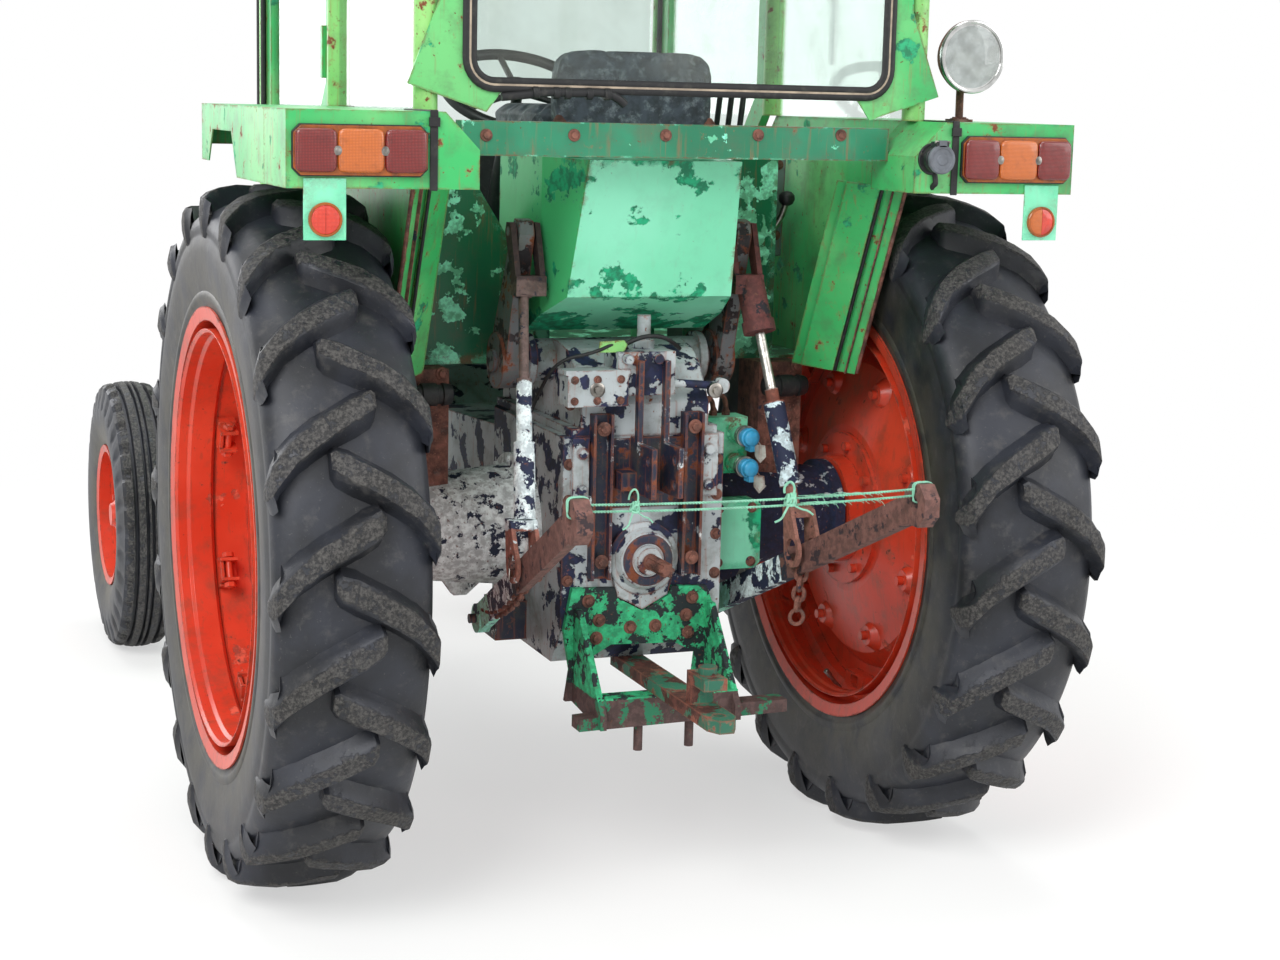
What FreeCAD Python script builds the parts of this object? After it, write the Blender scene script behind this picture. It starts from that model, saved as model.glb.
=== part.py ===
"""Farm tractor with a cab and a rear three-point hitch.

Frame: +X to the right, +Y ahead, +Z up, millimetres. The origin is on the ground under the
middle of the whole length. Every place along the tractor is measured from the rear axle.
"""
import FreeCAD, Part
import math
import os
import re
import Sketcher

Vector = FreeCAD.Vector
Rotation = FreeCAD.Rotation

# Driving sizes, millimetres and degrees: name, value.
SIZES = (
    ("wheelbase", 2200), ("rear_reach", 944), ("front_overhang", 500), ("engine_to_axle", 420),
    ("nose_depth", 110),
    # Rear wheels
    ("rear_track", 1504), ("rear_radius", 775), ("rear_section", 340), ("rear_bead", 484),
    ("rear_flange", 508), ("rear_rim_width", 300), ("rear_shoulder", 745), ("rear_disc_edge", 432),
    ("rear_hub_radius", 130), ("rear_lugs", 20), ("rim_pads", 8), ("front_facets", 22),
    ("axle_shaft_radius", 40), ("disc_wall", 8), ("rim_wall", 6),
    # Front wheels
    ("front_track", 1510), ("front_radius", 420), ("front_section", 178), ("front_bead", 203),
    ("front_flange", 220), ("front_rim_width", 140), ("front_hub_radius", 60),
    # Driveline
    ("housing_half", 190), ("housing_rear", 300), ("housing_top", 1020), ("housing_bottom", 504),
    ("gearbox_half", 150), ("bell_half", 225), ("bell_front", 1050), ("trumpet_end", 590),
    ("trumpet_radius", 140), ("trumpet_bolts", 10), ("trumpet_tip_radius", 108), ("engine_half", 160),
    ("engine_bottom", 560), ("engine_top", 1080), ("head_top", 1260),
    ("rail_half", 170), ("rail_inner", 120), ("rail_bottom", 620), ("rail_top", 800),
    # Front axle
    ("kingpin_x", 600), ("beam_bottom", 470), ("beam_top", 575), ("beam_depth", 90),
    ("kingpin_radius", 20), ("sleeve_radius", 36), ("steer_arm", 170), ("steer_arm_bottom", 375),
    ("steer_arm_top", 398), ("tie_rod_radius", 12), ("tie_rod_z", 425), ("tie_pin_radius", 7),
    ("stub_radius", 22),
    # Clearances
    ("running_gap", 0.3),
    # Hitch
    ("lift_shaft_y", -80), ("lift_shaft_z", 1165), ("lift_shaft_radius", 25), ("lift_arm_x", 257),
    ("lift_arm_wide", 34), ("lift_boss_radius", 63), ("lift_pin_y", -200), ("lift_pin_z", 1460),
    ("hitch_pin_radius", 11), ("link_pivot_y", -20), ("link_pivot_z", 560), ("link_front_x", 285),
    ("link_end_x", 370), ("link_end_z", 955), ("link_eye_radius", 44), ("link_wide", 22),
    ("link_high", 60), ("link_ball_bore", 14.3), ("rod_foot_y", -450), ("rod_foot_lift", 22),
    ("rod_foot_x", 324), ("rod_head_x", 257), ("rod_eye_radius", 38), ("rod_eye_bore", 26),
    ("rod_pin_radius", 9.5),
    ("rod_fork_gap", 21), ("rod_cheek", 9), ("twine_radius", 2.5),
    ("rail_y", -330), ("hitch_plate", 8), ("pto_z", 745), ("pto_radius", 17.5), ("pto_journal", 16),
    ("pto_stub", 100), ("pto_end", -456), ("pto_cover_radius", 70),
    ("drawbar_z", 490), ("drawbar_end", -800), ("drawbar_half", 32), ("drawbar_thick", 28),
    ("drawbar_hole", 13),
    # Cab and fenders
    ("wall_x", 560), ("sheet", 3), ("fender_out", 865), ("box_rear", -600), ("box_front", -400),
    ("box_inner", 480), ("box_bottom", 1567), ("deck_top", 1717), ("deck_front", 280),
    ("floor_top", 1150), ("floor_sheet", 5), ("post_x", 550), ("post_radius", 25),
    ("rear_post_y", -450), ("mid_post_y", 290), ("front_post_y", 1050), ("eave", 2400),
    ("roof_top", 2550), ("roof_half", 640), ("door_gap", 5), ("door_thick", 22),
    ("glass", 5), ("door_hinge_x", 596), ("door_pin_radius", 6), ("door_hinge_low", 1300),
    ("door_hinge_high", 2200), ("window_edge", 45),
    ("seat_half", 200), ("hopper_half", 216), ("seat_back_top", 1870), ("seat_back_y", -200),
    ("seat_top", 1735),
    ("wheel_ring", 205), ("wheel_ring_wire", 14), ("column_foot_y", 930), ("column_foot_z", 1250),
    ("column_head_y", 640), ("column_head_z", 1760), ("column_radius", 14),
    # Hood and nose
    ("hood_half", 250), ("hood_wall", 3), ("hood_rear", 1100),
    ("hood_low", 1040), ("hood_top", 1540), ("nose_top", 1450), ("hood_pin_radius", 7),
    ("lamp_radius", 78), ("stack_x", -302), ("stack_y", 1250), ("stack_radius", 30),
    ("stack_top", 2480), ("stack_wall", 3),
)

document = FreeCAD.newDocument("farm_tractor")
sheet = document.addObject("Spreadsheet::Sheet", "Sizes")
for row, (size_name, size_value) in enumerate(SIZES, start=1):
    sheet.set(f"A{row}", size_name)
    sheet.set(f"B{row}", str(size_value))
    sheet.setAlias(f"B{row}", size_name)
document.recompute()

size = dict(SIZES)
WORD = re.compile(r"[a-z][a-z_]*")
# Lengths that follow from the driving ones.
DERIVED = {
    "front_reach": "(wheelbase + front_overhang)",
    "engine_front": "(wheelbase - engine_to_axle)",
    "hood_front": "(wheelbase + front_overhang - nose_depth)",
    "link_end_y": "(link_eye_radius - rear_reach)",
    "rod_foot_z": "(link_pivot_z + (link_end_z - link_pivot_z) * (link_pivot_y - rod_foot_y)"
                  " / (link_pivot_y - link_eye_radius + rear_reach) + rod_foot_lift)",
}
AXLE = "((rear_reach - wheelbase - front_overhang) / 2)"
TURN = {"x": Rotation(Vector(0, 1, 0), 90), "y": Rotation(Vector(1, 0, 0), -90), "z": Rotation()}
PLANES = {
    "yz": Rotation(Vector(1, 1, 1), 120),
    "xz": Rotation(Vector(1, 0, 0), 90),
    "xy": Rotation(),
}
nodes = []


def bound(text):
    """The expression with derived lengths written out and every size read from the sheet."""
    text = WORD.sub(lambda word: DERIVED.get(word[0], word[0]), str(text))
    return WORD.sub(lambda word: f"Sizes.{word[0]}" if word[0] in size else word[0], text)


def bind(item, **properties):
    """Binds properties of an object to expressions; two underscores stand for a dot."""
    for path, text in properties.items():
        item.setExpression(path.replace("__", "."), bound(text))
    return item


def place(item, x, y, z, turn=Rotation()):
    """Puts an object at x, at y ahead of the rear axle and at z."""
    item.Placement = FreeCAD.Placement(Vector(), turn)
    return bind(item, Placement__Base__x=x, Placement__Base__y=f"{AXLE} + ({y})", Placement__Base__z=z)


def aim(item, start, end):
    """Puts an object that runs along its own Z at start, pointing at end; returns the distance."""
    across, along, up = (f"(({b}) - ({a}))" for a, b in zip(start, end))
    length = f"sqrt({across} * {across} + {along} * {along} + {up} * {up})"
    place(item, *start, turn=Rotation(Vector(1, 0, 0), 10))
    bind(item, Placement__Rotation__Axis__x=f"0 - {along}", Placement__Rotation__Axis__y=across,
         Placement__Rotation__Axis__z="0", Placement__Rotation__Angle=f"acos({up} / {length})")
    return length


def box(name, x, y, z):
    """A box between pairs of expressions."""
    item = document.addObject("Part::Box", name)
    bind(item, Length=f"({x[1]}) - ({x[0]})", Width=f"({y[1]}) - ({y[0]})", Height=f"({z[1]}) - ({z[0]})")
    return place(item, x[0], y[0], z[0])


def drum(name, axis, centre, span, radius):
    """A cylinder along an axis: centre is its two other places in X, Y, Z order."""
    item = document.addObject("Part::Cylinder", name)
    bind(item, Radius=radius, Height=f"({span[1]}) - ({span[0]})")
    spot = list(centre)
    spot.insert("xyz".index(axis), span[0])
    return place(item, *spot, turn=TURN[axis])


def rod(name, start, end, radius):
    """A round bar from start to end."""
    item = document.addObject("Part::Cylinder", name)
    length = aim(item, start, end)
    return bind(item, Radius=radius, Height=length)


def outline(name, corners, circles=(), cuts=()):
    """A sketch of closed outlines and circles, each point held by two bound distances."""
    sketch = document.addObject("Sketcher::SketchObject", name)
    for ring in (corners, *cuts):
        first = sketch.GeometryCount
        count = len(ring)
        spots = [Vector(90 * math.cos(2 * math.pi * k / count), 90 * math.sin(2 * math.pi * k / count))
                 for k in range(count)]
        for k in range(count):
            sketch.addGeometry(Part.LineSegment(spots[k], spots[(k + 1) % count]), False)
        for k in range(count):
            sketch.addConstraint(Sketcher.Constraint("Coincident", first + k, 2, first + (k + 1) % count, 1))
        for k, point in enumerate(ring):
            hold(sketch, first + k, 1, point)
    for u, v, radius in circles:
        index = sketch.addGeometry(Part.Circle(Vector(), Vector(0, 0, 1), 10), False)
        hold(sketch, index, 3, (u, v))
        ring_size = sketch.addConstraint(Sketcher.Constraint("Radius", index, 10))
        sketch.setExpression(f"Constraints[{ring_size}]", bound(radius))
    return sketch


def hold(sketch, index, spot, point):
    """Holds one sketch point at two bound distances from the sketch's origin."""
    for kind, text in zip(("DistanceX", "DistanceY"), point):
        number = sketch.addConstraint(Sketcher.Constraint(kind, -1, 1, index, spot, 1.0))
        sketch.setExpression(f"Constraints[{number}]", bound(text))


def plate(name, plane, corners, span, circles=(), cuts=()):
    """An outline in a plane, given thickness over a span of the third axis."""
    sketch = outline(f"{name}_outline", corners, circles, cuts)
    start = span[1] if plane == "xz" else span[0]
    spot = {"yz": (start, "0", "0"), "xz": ("0", start, "0"), "xy": ("0", "0", start)}[plane]
    place(sketch, *spot, turn=PLANES[plane])
    item = document.addObject("Part::Extrusion", name)
    item.Base = sketch
    item.DirMode = "Normal"
    item.Solid = True
    item.FaceMakerClass = "Part::FaceMakerBullseye"
    return bind(item, LengthFwd=f"({span[1]}) - ({span[0]})")


def strut(name, start, end, wide, high):
    """A flat bar from start to end: wide across the tractor, high along its face."""
    corners = [(f"{u} * ({wide}) / 2", f"{v} * ({high}) / 2") for u,
               v in ((-1, -1), (1, -1), (1, 1), (-1, 1))]
    sketch = outline(f"{name}_section", corners)
    item = document.addObject("Part::Extrusion", name)
    item.Base = sketch
    item.DirMode = "Normal"
    item.Solid = True
    length = aim(item, start, end)
    return bind(item, LengthFwd=length)


def turned(name, axis, corners, centre=None):
    """A solid of revolution: corners are (along the axis, radius); centre is its zero, or a wheel's own."""
    sketch = outline(f"{name}_section", corners)
    item = document.addObject("Part::Revolution", name)
    item.Source = sketch
    item.Axis = Vector(1, 0, 0)
    item.Angle = 360
    item.Solid = True
    turn = {"x": Rotation(), "y": Rotation(Vector(0, 0, 1), 90), "z": Rotation(Vector(0, 1, 0), -90)}[axis]
    return place(item, *centre, turn=turn) if centre else item


def leaf(name, first, second, third, thick):
    """A flat four-sided sheet set aslant, from three corners at x, y ahead of the axle and z."""
    a, b, c = (Vector(x, y, z) for x, y, z in (first, second, third))
    normal = (b - a).cross(c - b).normalize()
    ring = Part.makePolygon([a, b, c, a + c - b, a])
    item = document.addObject("Part::Feature", name)
    item.Shape = Part.Face(ring).extrude(normal * thick)
    return place(item, "0", "0", "0")


def fuse(name, *pieces):
    """One solid made of the pieces."""
    item = document.addObject("Part::MultiFuse", name)
    item.Shapes = list(pieces)
    item.Refine = True
    return item


def cut(name, base, *tools):
    """The base less the tools."""
    item = document.addObject("Part::Cut", name)
    item.Base = base
    item.Tool = tools[0] if len(tools) == 1 else fuse(f"{name}_tools", *tools)
    item.Refine = True
    return item


def shared(name, *pieces):
    """What the pieces have in common."""
    item = document.addObject("Part::MultiCommon", name)
    item.Shapes = list(pieces)
    return item


def mirrored(name, source):
    """The same piece on the tractor's other side."""
    item = document.addObject("Part::Mirroring", name)
    item.Source = source
    item.Normal = Vector(1, 0, 0)
    return item


def node(item, name):
    """Makes an object a sub-part with a name of its own."""
    item.Label = name
    nodes.append(item)
    return item


def pair(item, name):
    """A left sub-part and its mirror image on the right."""
    node(item, f"{name}_left")
    return node(mirrored(f"{name}_mirror", item), f"{name}_right")


def together(name, *pieces):
    """Separate solids that one sub-part holds."""
    item = document.addObject("Part::Compound", name)
    item.Links = list(pieces)
    return item


def twins(name, item):
    """A left piece and its mirror image as one sub-part."""
    return node(together(name, item, mirrored(f"{name}_mirror", item)), name)


def both_sides(corners):
    """An outline that is the same left and right, from its right half."""
    return list(corners) + [(f"0 - ({u})", v) for u, v in reversed(corners)]


def from_hub(item, along="0"):
    """Measures a wheel piece's place along the tractor from the wheel's own centre."""
    bind(item.Base if item.TypeId == "Part::Extrusion" else item, Placement__Base__y=along)
    return item


def facet(name, corners, count, turn="0"):
    """One flat facet of a ring: an outline of (across, radius) between two planes through the axis."""
    reach = f"1000 * tan(180 / ({count}))"
    bar = from_hub(plate(f"{name}_bar", "xz", corners, ("-70", "70")), "70")
    wedge = from_hub(plate(f"{name}_wedge", "yz", (("0", "0"), (reach, "1000"), (f"0 - {reach}", "1000")),
                           ("-400", "400")))
    return around(name, shared(f"{name}_mitred", bar, wedge), count, (turn,))[0]


def around(name, item, count, steps):
    """Copies of a wheel piece turned about the wheel's axis, by steps of a whole turn's share."""
    copies = []
    for step in steps:
        copy = document.addObject("Part::Compound", f"{name}_turned")
        copy.Links = [item]
        copy.Placement = FreeCAD.Placement(Vector(), Rotation(Vector(1, 0, 0), 10))
        copies.append(bind(copy, Placement__Rotation__Angle=f"360 / ({count}) * ({step})"))
    return copies


def between(start, end, share):
    """The place at a share of the way from start to end."""
    return tuple(f"(({a}) * (1 - {share}) + ({b}) * {share})" for a, b in zip(start, end))


def regular(centre, flat, count):
    """The corners of a regular outline whose flats lie at a distance from its centre."""
    turns = (math.pi * (2 * k + 1) / count for k in range(count))
    reach = 1 / math.cos(math.pi / count)
    return [(f"{centre[0]} + {flat} * {math.cos(turn) * reach:.6f}",
             f"{centre[1]} + {flat} * {math.sin(turn) * reach:.6f}")
            for turn in turns]


def outwards(corners):
    """A ring's outline, the same to both sides, from the half with across above nought."""
    return list(corners) + [(f"0 - ({a})", r) for a, r in reversed(corners)]


def rear_wheels():
    """Rear rims with a dished disc and hub shaft, and tyres with chevron lugs."""
    half = "rear_rim_width / 2"
    rim = turned("rear_rim_ring", "x", (
        (f"0 - {half} - 5", "rear_flange"), (f"0 - {half}", "rear_flange"),
        (f"5 - running_gap - {half}", "rear_bead"),
        ("-60", "rear_bead"), ("-50", "rear_bead - 22"), ("50", "rear_bead - 22"), ("60", "rear_bead"),
        (f"{half} - 5 + running_gap", "rear_bead"), (half, "rear_flange"), (f"{half} + 5", "rear_flange"),
        (half, "rear_bead - rim_wall"), ("65", "rear_bead - rim_wall"), ("55", "rear_bead - 22 - rim_wall"),
        ("-55", "rear_bead - 22 - rim_wall"), ("-65", "rear_bead - rim_wall"),
        (f"0 - {half}", "rear_bead - rim_wall")))
    disc = turned("rear_disc", "x", (
        ("20", "rear_bead - 26"), ("20", "rear_disc_edge - 30"), ("60", "rear_disc_edge - 70"),
        ("95", "210"), ("95", "axle_shaft_radius"), ("95 + disc_wall", "axle_shaft_radius"),
        ("95 + disc_wall", "205"), ("60 + disc_wall", "rear_disc_edge - 74"),
        ("20 + disc_wall", "rear_disc_edge - 34"), ("20 + disc_wall", "rear_bead - 26")))
    hub_end = "rear_track / 2 - trumpet_end - 6"
    boss = turned("rear_hub", "x", (
        ("35", "0"), ("35", "55"), ("95", "60"), ("95", "rear_hub_radius"),
        ("95 + disc_wall", "rear_hub_radius + 55"),
        ("107 + disc_wall", "rear_hub_radius + 55"), ("107 + disc_wall", "rear_hub_radius"),
        (hub_end, "rear_hub_radius"),
        (hub_end, "axle_shaft_radius"), ("rear_track / 2 - trumpet_end + 80", "axle_shaft_radius"),
        ("rear_track / 2 - trumpet_end + 80", "0")))
    pad = cut("rim_pad", from_hub(box("rim_pad_body", ("28 - 8", "58"), ("-48", "48"),
                                      ("rear_bead - 62", "rear_bead - 26")),
                                  "-48"),
              from_hub(box("rim_pad_hole", ("10", "70"), ("-17", "17"), ("rear_bead - 56", "rear_bead - 30")),
                       "-17"))
    dome = document.addObject("Part::Cone", "disc_bulge")
    dome.Placement = FreeCAD.Placement(Vector(), TURN["x"])
    bind(dome, Radius1="46", Radius2="24", Height="34", Placement__Base__x="60", Placement__Base__z="318")
    bolt = from_hub(drum("disc_bolt", "x", ("0", "318"), ("88", "110"), "11"))
    stud = from_hub(drum("hub_stud", "x", ("0", "rear_hub_radius + 30"), ("80", "130"), "11"))
    fittings = []
    for name, piece, offset in (("pad", pad, "0"), ("bolt", bolt, "0.5"), ("stud", stud, "0.25")):
        fittings += around(name, piece, "rim_pads", [f"{k} + {offset}" for k in range(size["rim_pads"])])
    bulges = around("bulge", dome, "rim_pads", [f"{k} + 0.5" for k in range(size["rim_pads"])])
    shell = cut("disc_bulges", fuse("bulge_set", *bulges), turned("bulge_cut", "x", (
        ("-60", "100"), ("-60", "rear_bead - 30"), ("20", "rear_bead - 30"), ("20", "rear_disc_edge - 34"),
        ("60", "rear_disc_edge - 74"), ("95", "205"), ("95", "100"))))
    rim = fuse("rear_rim_body", rim, disc, boss, shell, *fittings)
    pair(place(rim, "0 - rear_track / 2", "0", "rear_radius"), "rear_rim")

    half = "rear_section / 2"
    carcass = outwards(((f"{half} - 25", "rear_bead"), (f"{half} - 5", "rear_flange + 92"),
                        (f"{half} - 22", "rear_shoulder - 24")))
    crown = (("-30", "rear_bead + 150"), ("-30", "rear_radius"), ("70", "rear_radius"),
             (half, "rear_shoulder"), (f"{half} - 13", "rear_bead + 150"))
    facets = "2 * rear_lugs"
    skin = [facet(f"carcass_{k}", carcass, facets, k) for k in (0, 1)]
    envelope = fuse("lug_envelope", *(facet(f"crown_{k}", crown, facets, k) for k in (0, 1)))
    foot = plate("lug_foot", "xy", (
        ("-16", "6"), ("-16", "56"), ("24", "56"), (f"{half} + 4", "-86"), (f"{half} + 4", "-150")),
        ("rear_bead + 140", "rear_radius + 60"))
    from_hub(foot)
    lug = shared("lug", foot, envelope)
    other = around("lug_left", mirrored("lug_mirror", lug), facets, ("1",))
    pitch = fuse("tread_pitch", *skin, lug, *other)
    tyre = fuse("rear_tyre_body", *around("pitch", pitch, "rear_lugs", range(size["rear_lugs"])))
    pair(place(tyre, "0 - rear_track / 2", "0", "rear_radius"), "rear_tyre")


def front_wheels():
    """Front rims on their stub axles, and tyres with three ribs."""
    half = "front_rim_width / 2"
    rim = turned("front_rim_ring", "x", (
        (f"0 - {half} - 5", "front_flange"), (f"0 - {half}", "front_flange"),
        (f"5 - running_gap - {half}", "front_bead"),
        ("-30", "front_bead"), ("-24", "front_bead - 14"), ("24", "front_bead - 14"), ("30", "front_bead"),
        (f"{half} - 5 + running_gap", "front_bead"), (half, "front_flange"), (f"{half} + 5", "front_flange"),
        (half, "front_bead - 5"), ("33", "front_bead - 5"), ("27", "front_bead - 19"),
        ("-27", "front_bead - 19"), ("-33", "front_bead - 5"), (f"0 - {half}", "front_bead - 5")))
    disc = turned("front_disc", "x", (
        ("-12", "front_bead - 17"), ("-30", "front_bead - 60"), ("-30", "stub_radius + running_gap"),
        ("-24", "stub_radius + running_gap"), ("-24", "front_bead - 62"), ("-6", "front_bead - 17")))
    hub = turned("front_hub", "x", (
        ("-62", "0"), ("-62", "34"), ("-50", "40"), ("-36", "front_hub_radius"), ("-24", "front_hub_radius"),
        ("-24", "46"), ("70", "46"), ("70", "stub_radius + running_gap"),
        ("-46", "stub_radius + running_gap"),
        ("-46", "0")))
    nut = from_hub(drum("wheel_nut", "x", ("0", "front_hub_radius + 22"), ("-44", "-20"), "10"))
    nuts = around("nut", nut, "6", range(6))
    rim = fuse("front_rim_body", rim, disc, hub, *nuts)
    pair(place(rim, "0 - front_track / 2", "wheelbase", "front_radius"), "front_rim")
    half = "front_section / 2"
    section = outwards(((f"{half} - 24", "front_bead"), (half, "front_flange + 70"),
                        (f"{half} - 10", "front_radius - 22"),
                        ("52", "front_radius - 4"), ("47", "front_radius - 14"), ("42", "front_radius - 2"),
                        ("22", "front_radius"), ("17", "front_radius - 12"), ("12", "front_radius")))
    slice_of = facet("front_tyre_slice", section, "front_facets")
    tyre = fuse("front_tyre_body", *around("slice", slice_of, "front_facets", range(size["front_facets"])))
    pair(place(tyre, "0 - front_track / 2", "wheelbase", "front_radius"), "front_tyre")


def driveline():
    """Gearbox and rear housing, axle trumpets, lift housing, rear power shaft."""
    side = plate("housing_side", "yz", (
        ("0 - housing_rear", "housing_bottom + 80"), ("0 - housing_rear", "housing_top"),
        ("260", "housing_top"), ("300", "housing_top - 60"), ("900", "housing_top - 90"),
        ("960", "housing_top"), ("bell_front", "housing_top"), ("bell_front", "housing_bottom + 30"),
        ("960", "housing_bottom + 30"), ("900", "housing_bottom + 90"), ("300", "housing_bottom + 70"),
        ("240", "housing_bottom"), ("-240", "housing_bottom")), ("-300", "300"))
    plan = plate("housing_plan", "xy", both_sides((
        ("housing_half", "0 - housing_rear"), ("housing_half", "200"), ("gearbox_half", "300"),
        ("gearbox_half", "900"), ("bell_half", "960"), ("bell_half", "bell_front"))), ("300", "1300"))
    housing = shared("housing", side, plan)
    bore = drum("housing_pto_bore", "y", ("0", "pto_z"), ("0 - housing_rear - 1", "0 - housing_rear + 60"),
                "pto_journal + running_gap")
    pieces = [housing, box("bell_flange", ("0 - bell_half - 12", "bell_half + 12"),
                           ("bell_front - 25", "bell_front"),
                           ("housing_bottom + 30", "housing_top"))]
    for side, sign in (("left", "-1"), ("right", "1")):
        pieces.append(box(f"cover_strip_{side}", sorted_span(sign, "134", "172"),
                          ("0 - housing_rear - 12", "0 - housing_rear"), ("880", "housing_top")))
        for spot, height in (("low", "905"), ("high", "985")):
            pieces.append(drum(f"cover_bolt_{spot}_{side}", "y", (f"{sign} * 150", height),
                               ("0 - housing_rear - 20", "0 - housing_rear - 12"), "12"))
    chin = plate("shaft_casting", "xz", (("-82", "pto_z"), ("-60", "660"), ("0", "628"), ("60", "660"),
                                         ("82", "pto_z")),
                 ("0 - housing_rear - 10", "0 - housing_rear"))
    collar = drum("shaft_casting_bore", "y", ("0", "pto_z"), ("0 - housing_rear - 12", "1 - housing_rear"),
                  "pto_cover_radius + 12 + running_gap")
    node(cut("gearbox", fuse("gearbox_solid", *pieces, cut("shaft_chin", chin, collar)), bore),
         "gearbox_housing")

    trumpet = turned("trumpet", "x", (
        ("0 - housing_half", "axle_shaft_radius"), ("0 - housing_half", "165"),
        ("0 - housing_half - 25", "165"),
        ("0 - housing_half - 30", "trumpet_radius"), ("30 - trumpet_end", "trumpet_tip_radius"),
        ("26 - trumpet_end", "122"), ("0 - trumpet_end", "122"),
        ("0 - trumpet_end", "axle_shaft_radius + running_gap"),
        ("85 - trumpet_end", "axle_shaft_radius + running_gap"), ("85 - trumpet_end", "axle_shaft_radius")))
    fin = from_hub(plate("trumpet_fin", "xz", (
        ("-400", "-90"), ("-250", "-100"), ("-320", "-160"), ("-350", "-160")), ("-14", "14")), "14")
    bolt = from_hub(drum("trumpet_bolt", "x", ("0", "152"),
                         ("0 - housing_half - 34", "0 - housing_half - 20"), "9"))
    bolts = around("flange_bolt", bolt, "trumpet_bolts", range(size["trumpet_bolts"]))
    twins("axle_trumpets", place(fuse("trumpet_body", trumpet, fin, *bolts), "0", "0", "rear_radius"))

    cover = plate("lift_cover", "yz", (
        ("0 - housing_rear", "housing_top"), ("0 - housing_rear", "housing_top + 70"),
        ("-245", "lift_shaft_z + 5"), ("-190", "lift_shaft_z + 36"), ("-130", "lift_shaft_z + 48"),
        ("-70", "lift_shaft_z + 46"), ("-35", "lift_shaft_z + 30"), ("-35", "floor_top - 30"),
        ("260", "floor_top - 40"), ("260", "housing_top")), ("-150", "150"))
    extras = [box("valve_box", ("-195", "-56"), ("-338", "-280"), ("1091", "1166")),
              box("valve_box_lid", ("-200", "-51"), ("-338", "-280"), ("1160", "1170")),
              box("linkage_block", ("-78", "56"), ("-330", "-240"), ("1112", "1208")),
              drum("valve_post", "z", ("6", "-262"), ("1150", "1282"), "15"),
              drum("valve_post_collar", "z", ("6", "-262"), ("1205", "1228"), "24"),
              rod("depth_lever", ("40", "-318", "1138"), ("168", "-318", "1128"), "9"),
              drum("depth_lever_eye", "y", ("171", "1128"), ("-328", "-308"), "17")]
    for count, across in enumerate(("-58", "12")):
        extras.append(drum(f"linkage_bolt_{count}", "y", (across, "1193"), ("-346", "-330"), "11"))
    for side, sign in (("left", "-1"), ("right", "1")):
        extras.append(drum(f"sleeve_ring_{side}", "x", ("lift_shaft_y", "lift_shaft_z"),
                           sorted_span(sign, "197", "215"), "60"))
        extras.append(box(f"case_flange_{side}", sorted_span(sign, "140", "172"), ("0 - housing_rear", "240"),
                          ("housing_top", "housing_top + 18")))
    cover = fuse("lift_cover_body", cover, *extras)
    sleeve = drum("lift_sleeve", "x", ("lift_shaft_y", "lift_shaft_z"), ("-215", "215"), "48")
    bore = drum("lift_bore", "x", ("lift_shaft_y", "lift_shaft_z"), ("-220", "220"),
                "lift_shaft_radius + running_gap")
    node(cut("lift_housing", fuse("lift_case", cover, sleeve), bore), "lift_housing")

    cover = turned("pto_cover", "y", (
        ("0 - housing_rear", "pto_journal + running_gap"), ("0 - housing_rear", "pto_cover_radius + 12"),
        ("0 - housing_rear - 12", "pto_cover_radius + 12"), ("0 - housing_rear - 16", "pto_cover_radius"),
        ("0 - housing_rear - 34", "pto_cover_radius - 8"), ("0 - housing_rear - 38", "34"),
        ("0 - housing_rear - 52", "30"), ("0 - housing_rear - 52", "pto_journal + running_gap")),
        ("0", "0", "pto_z"))
    node(cover, "pto_cover")
    stub = drum("pto_stub_end", "y", ("0", "pto_z"), ("pto_end", "pto_end + pto_stub"), "pto_radius")
    journal = drum("pto_journal_bar", "y", ("0", "pto_z"), ("pto_end + pto_stub", "0 - housing_rear + 55"),
                   "pto_journal")
    node(fuse("pto_shaft_body", stub, journal), "pto_shaft")

    block = box("engine_case", ("0 - engine_half", "engine_half"), ("bell_front", "engine_front"),
                ("engine_bottom + 130", "engine_top"))
    sump = shared("sump", plate("sump_side", "yz", (
        ("bell_front", "engine_bottom + 130"), ("engine_front", "engine_bottom + 130"),
        ("engine_front", "engine_bottom + 80"), ("engine_front - 60", "engine_bottom"),
        ("bell_front + 90", "engine_bottom"), ("bell_front", "engine_bottom + 60")), ("-200", "200")),
        plate("sump_plan", "xz", both_sides((("engine_half - 50", "engine_bottom"),
                                             ("engine_half - 15", "engine_bottom + 60"),
                                             ("engine_half - 15", "engine_bottom + 130"))),
              ("bell_front", "engine_front")))
    head = box("engine_head", ("0 - engine_half + 25", "engine_half - 25"),
               ("hood_rear + 10", "engine_front - 20"), ("engine_top", "head_top"))
    parts = [block, sump, head]
    for name, axis, centre, span, radius in (
            ("oil_filter", "z", ("engine_half + 42", "bell_front + 260"), ("760", "930"), "44"),
            ("filter_head", "x", ("bell_front + 260", "925"), ("engine_half - 10", "engine_half + 60"), "30"),
            ("starter", "y", ("0 - engine_half - 52", "760"), ("bell_front + 5", "bell_front + 260"), "50"),
            ("alternator", "y", ("engine_half + 58", "960"), ("engine_front - 190", "engine_front - 30"),
             "56"),
            ("injection_pump", "y", ("engine_half + 34", "850"), ("bell_front + 380", "engine_front - 90"),
             "38"),
            ("manifold", "y", ("0 - engine_half - 20", "1130"), ("bell_front + 160", "engine_front - 80"),
             "32"),
            ("manifold_outlet", "z", ("0 - engine_half - 20", "stack_y"), ("1002", "1130"), "26"),
            ("water_pump", "y", ("0", "1010"), ("engine_front - 5", "engine_front + 60"), "48")):
        parts.append(drum(name, axis, centre, span, radius))
    parts.append(box("starter_bracket", ("0 - engine_half - 30", "0 - engine_half"),
                     ("bell_front + 60", "bell_front + 180"),
                     ("740", "800")))
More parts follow.
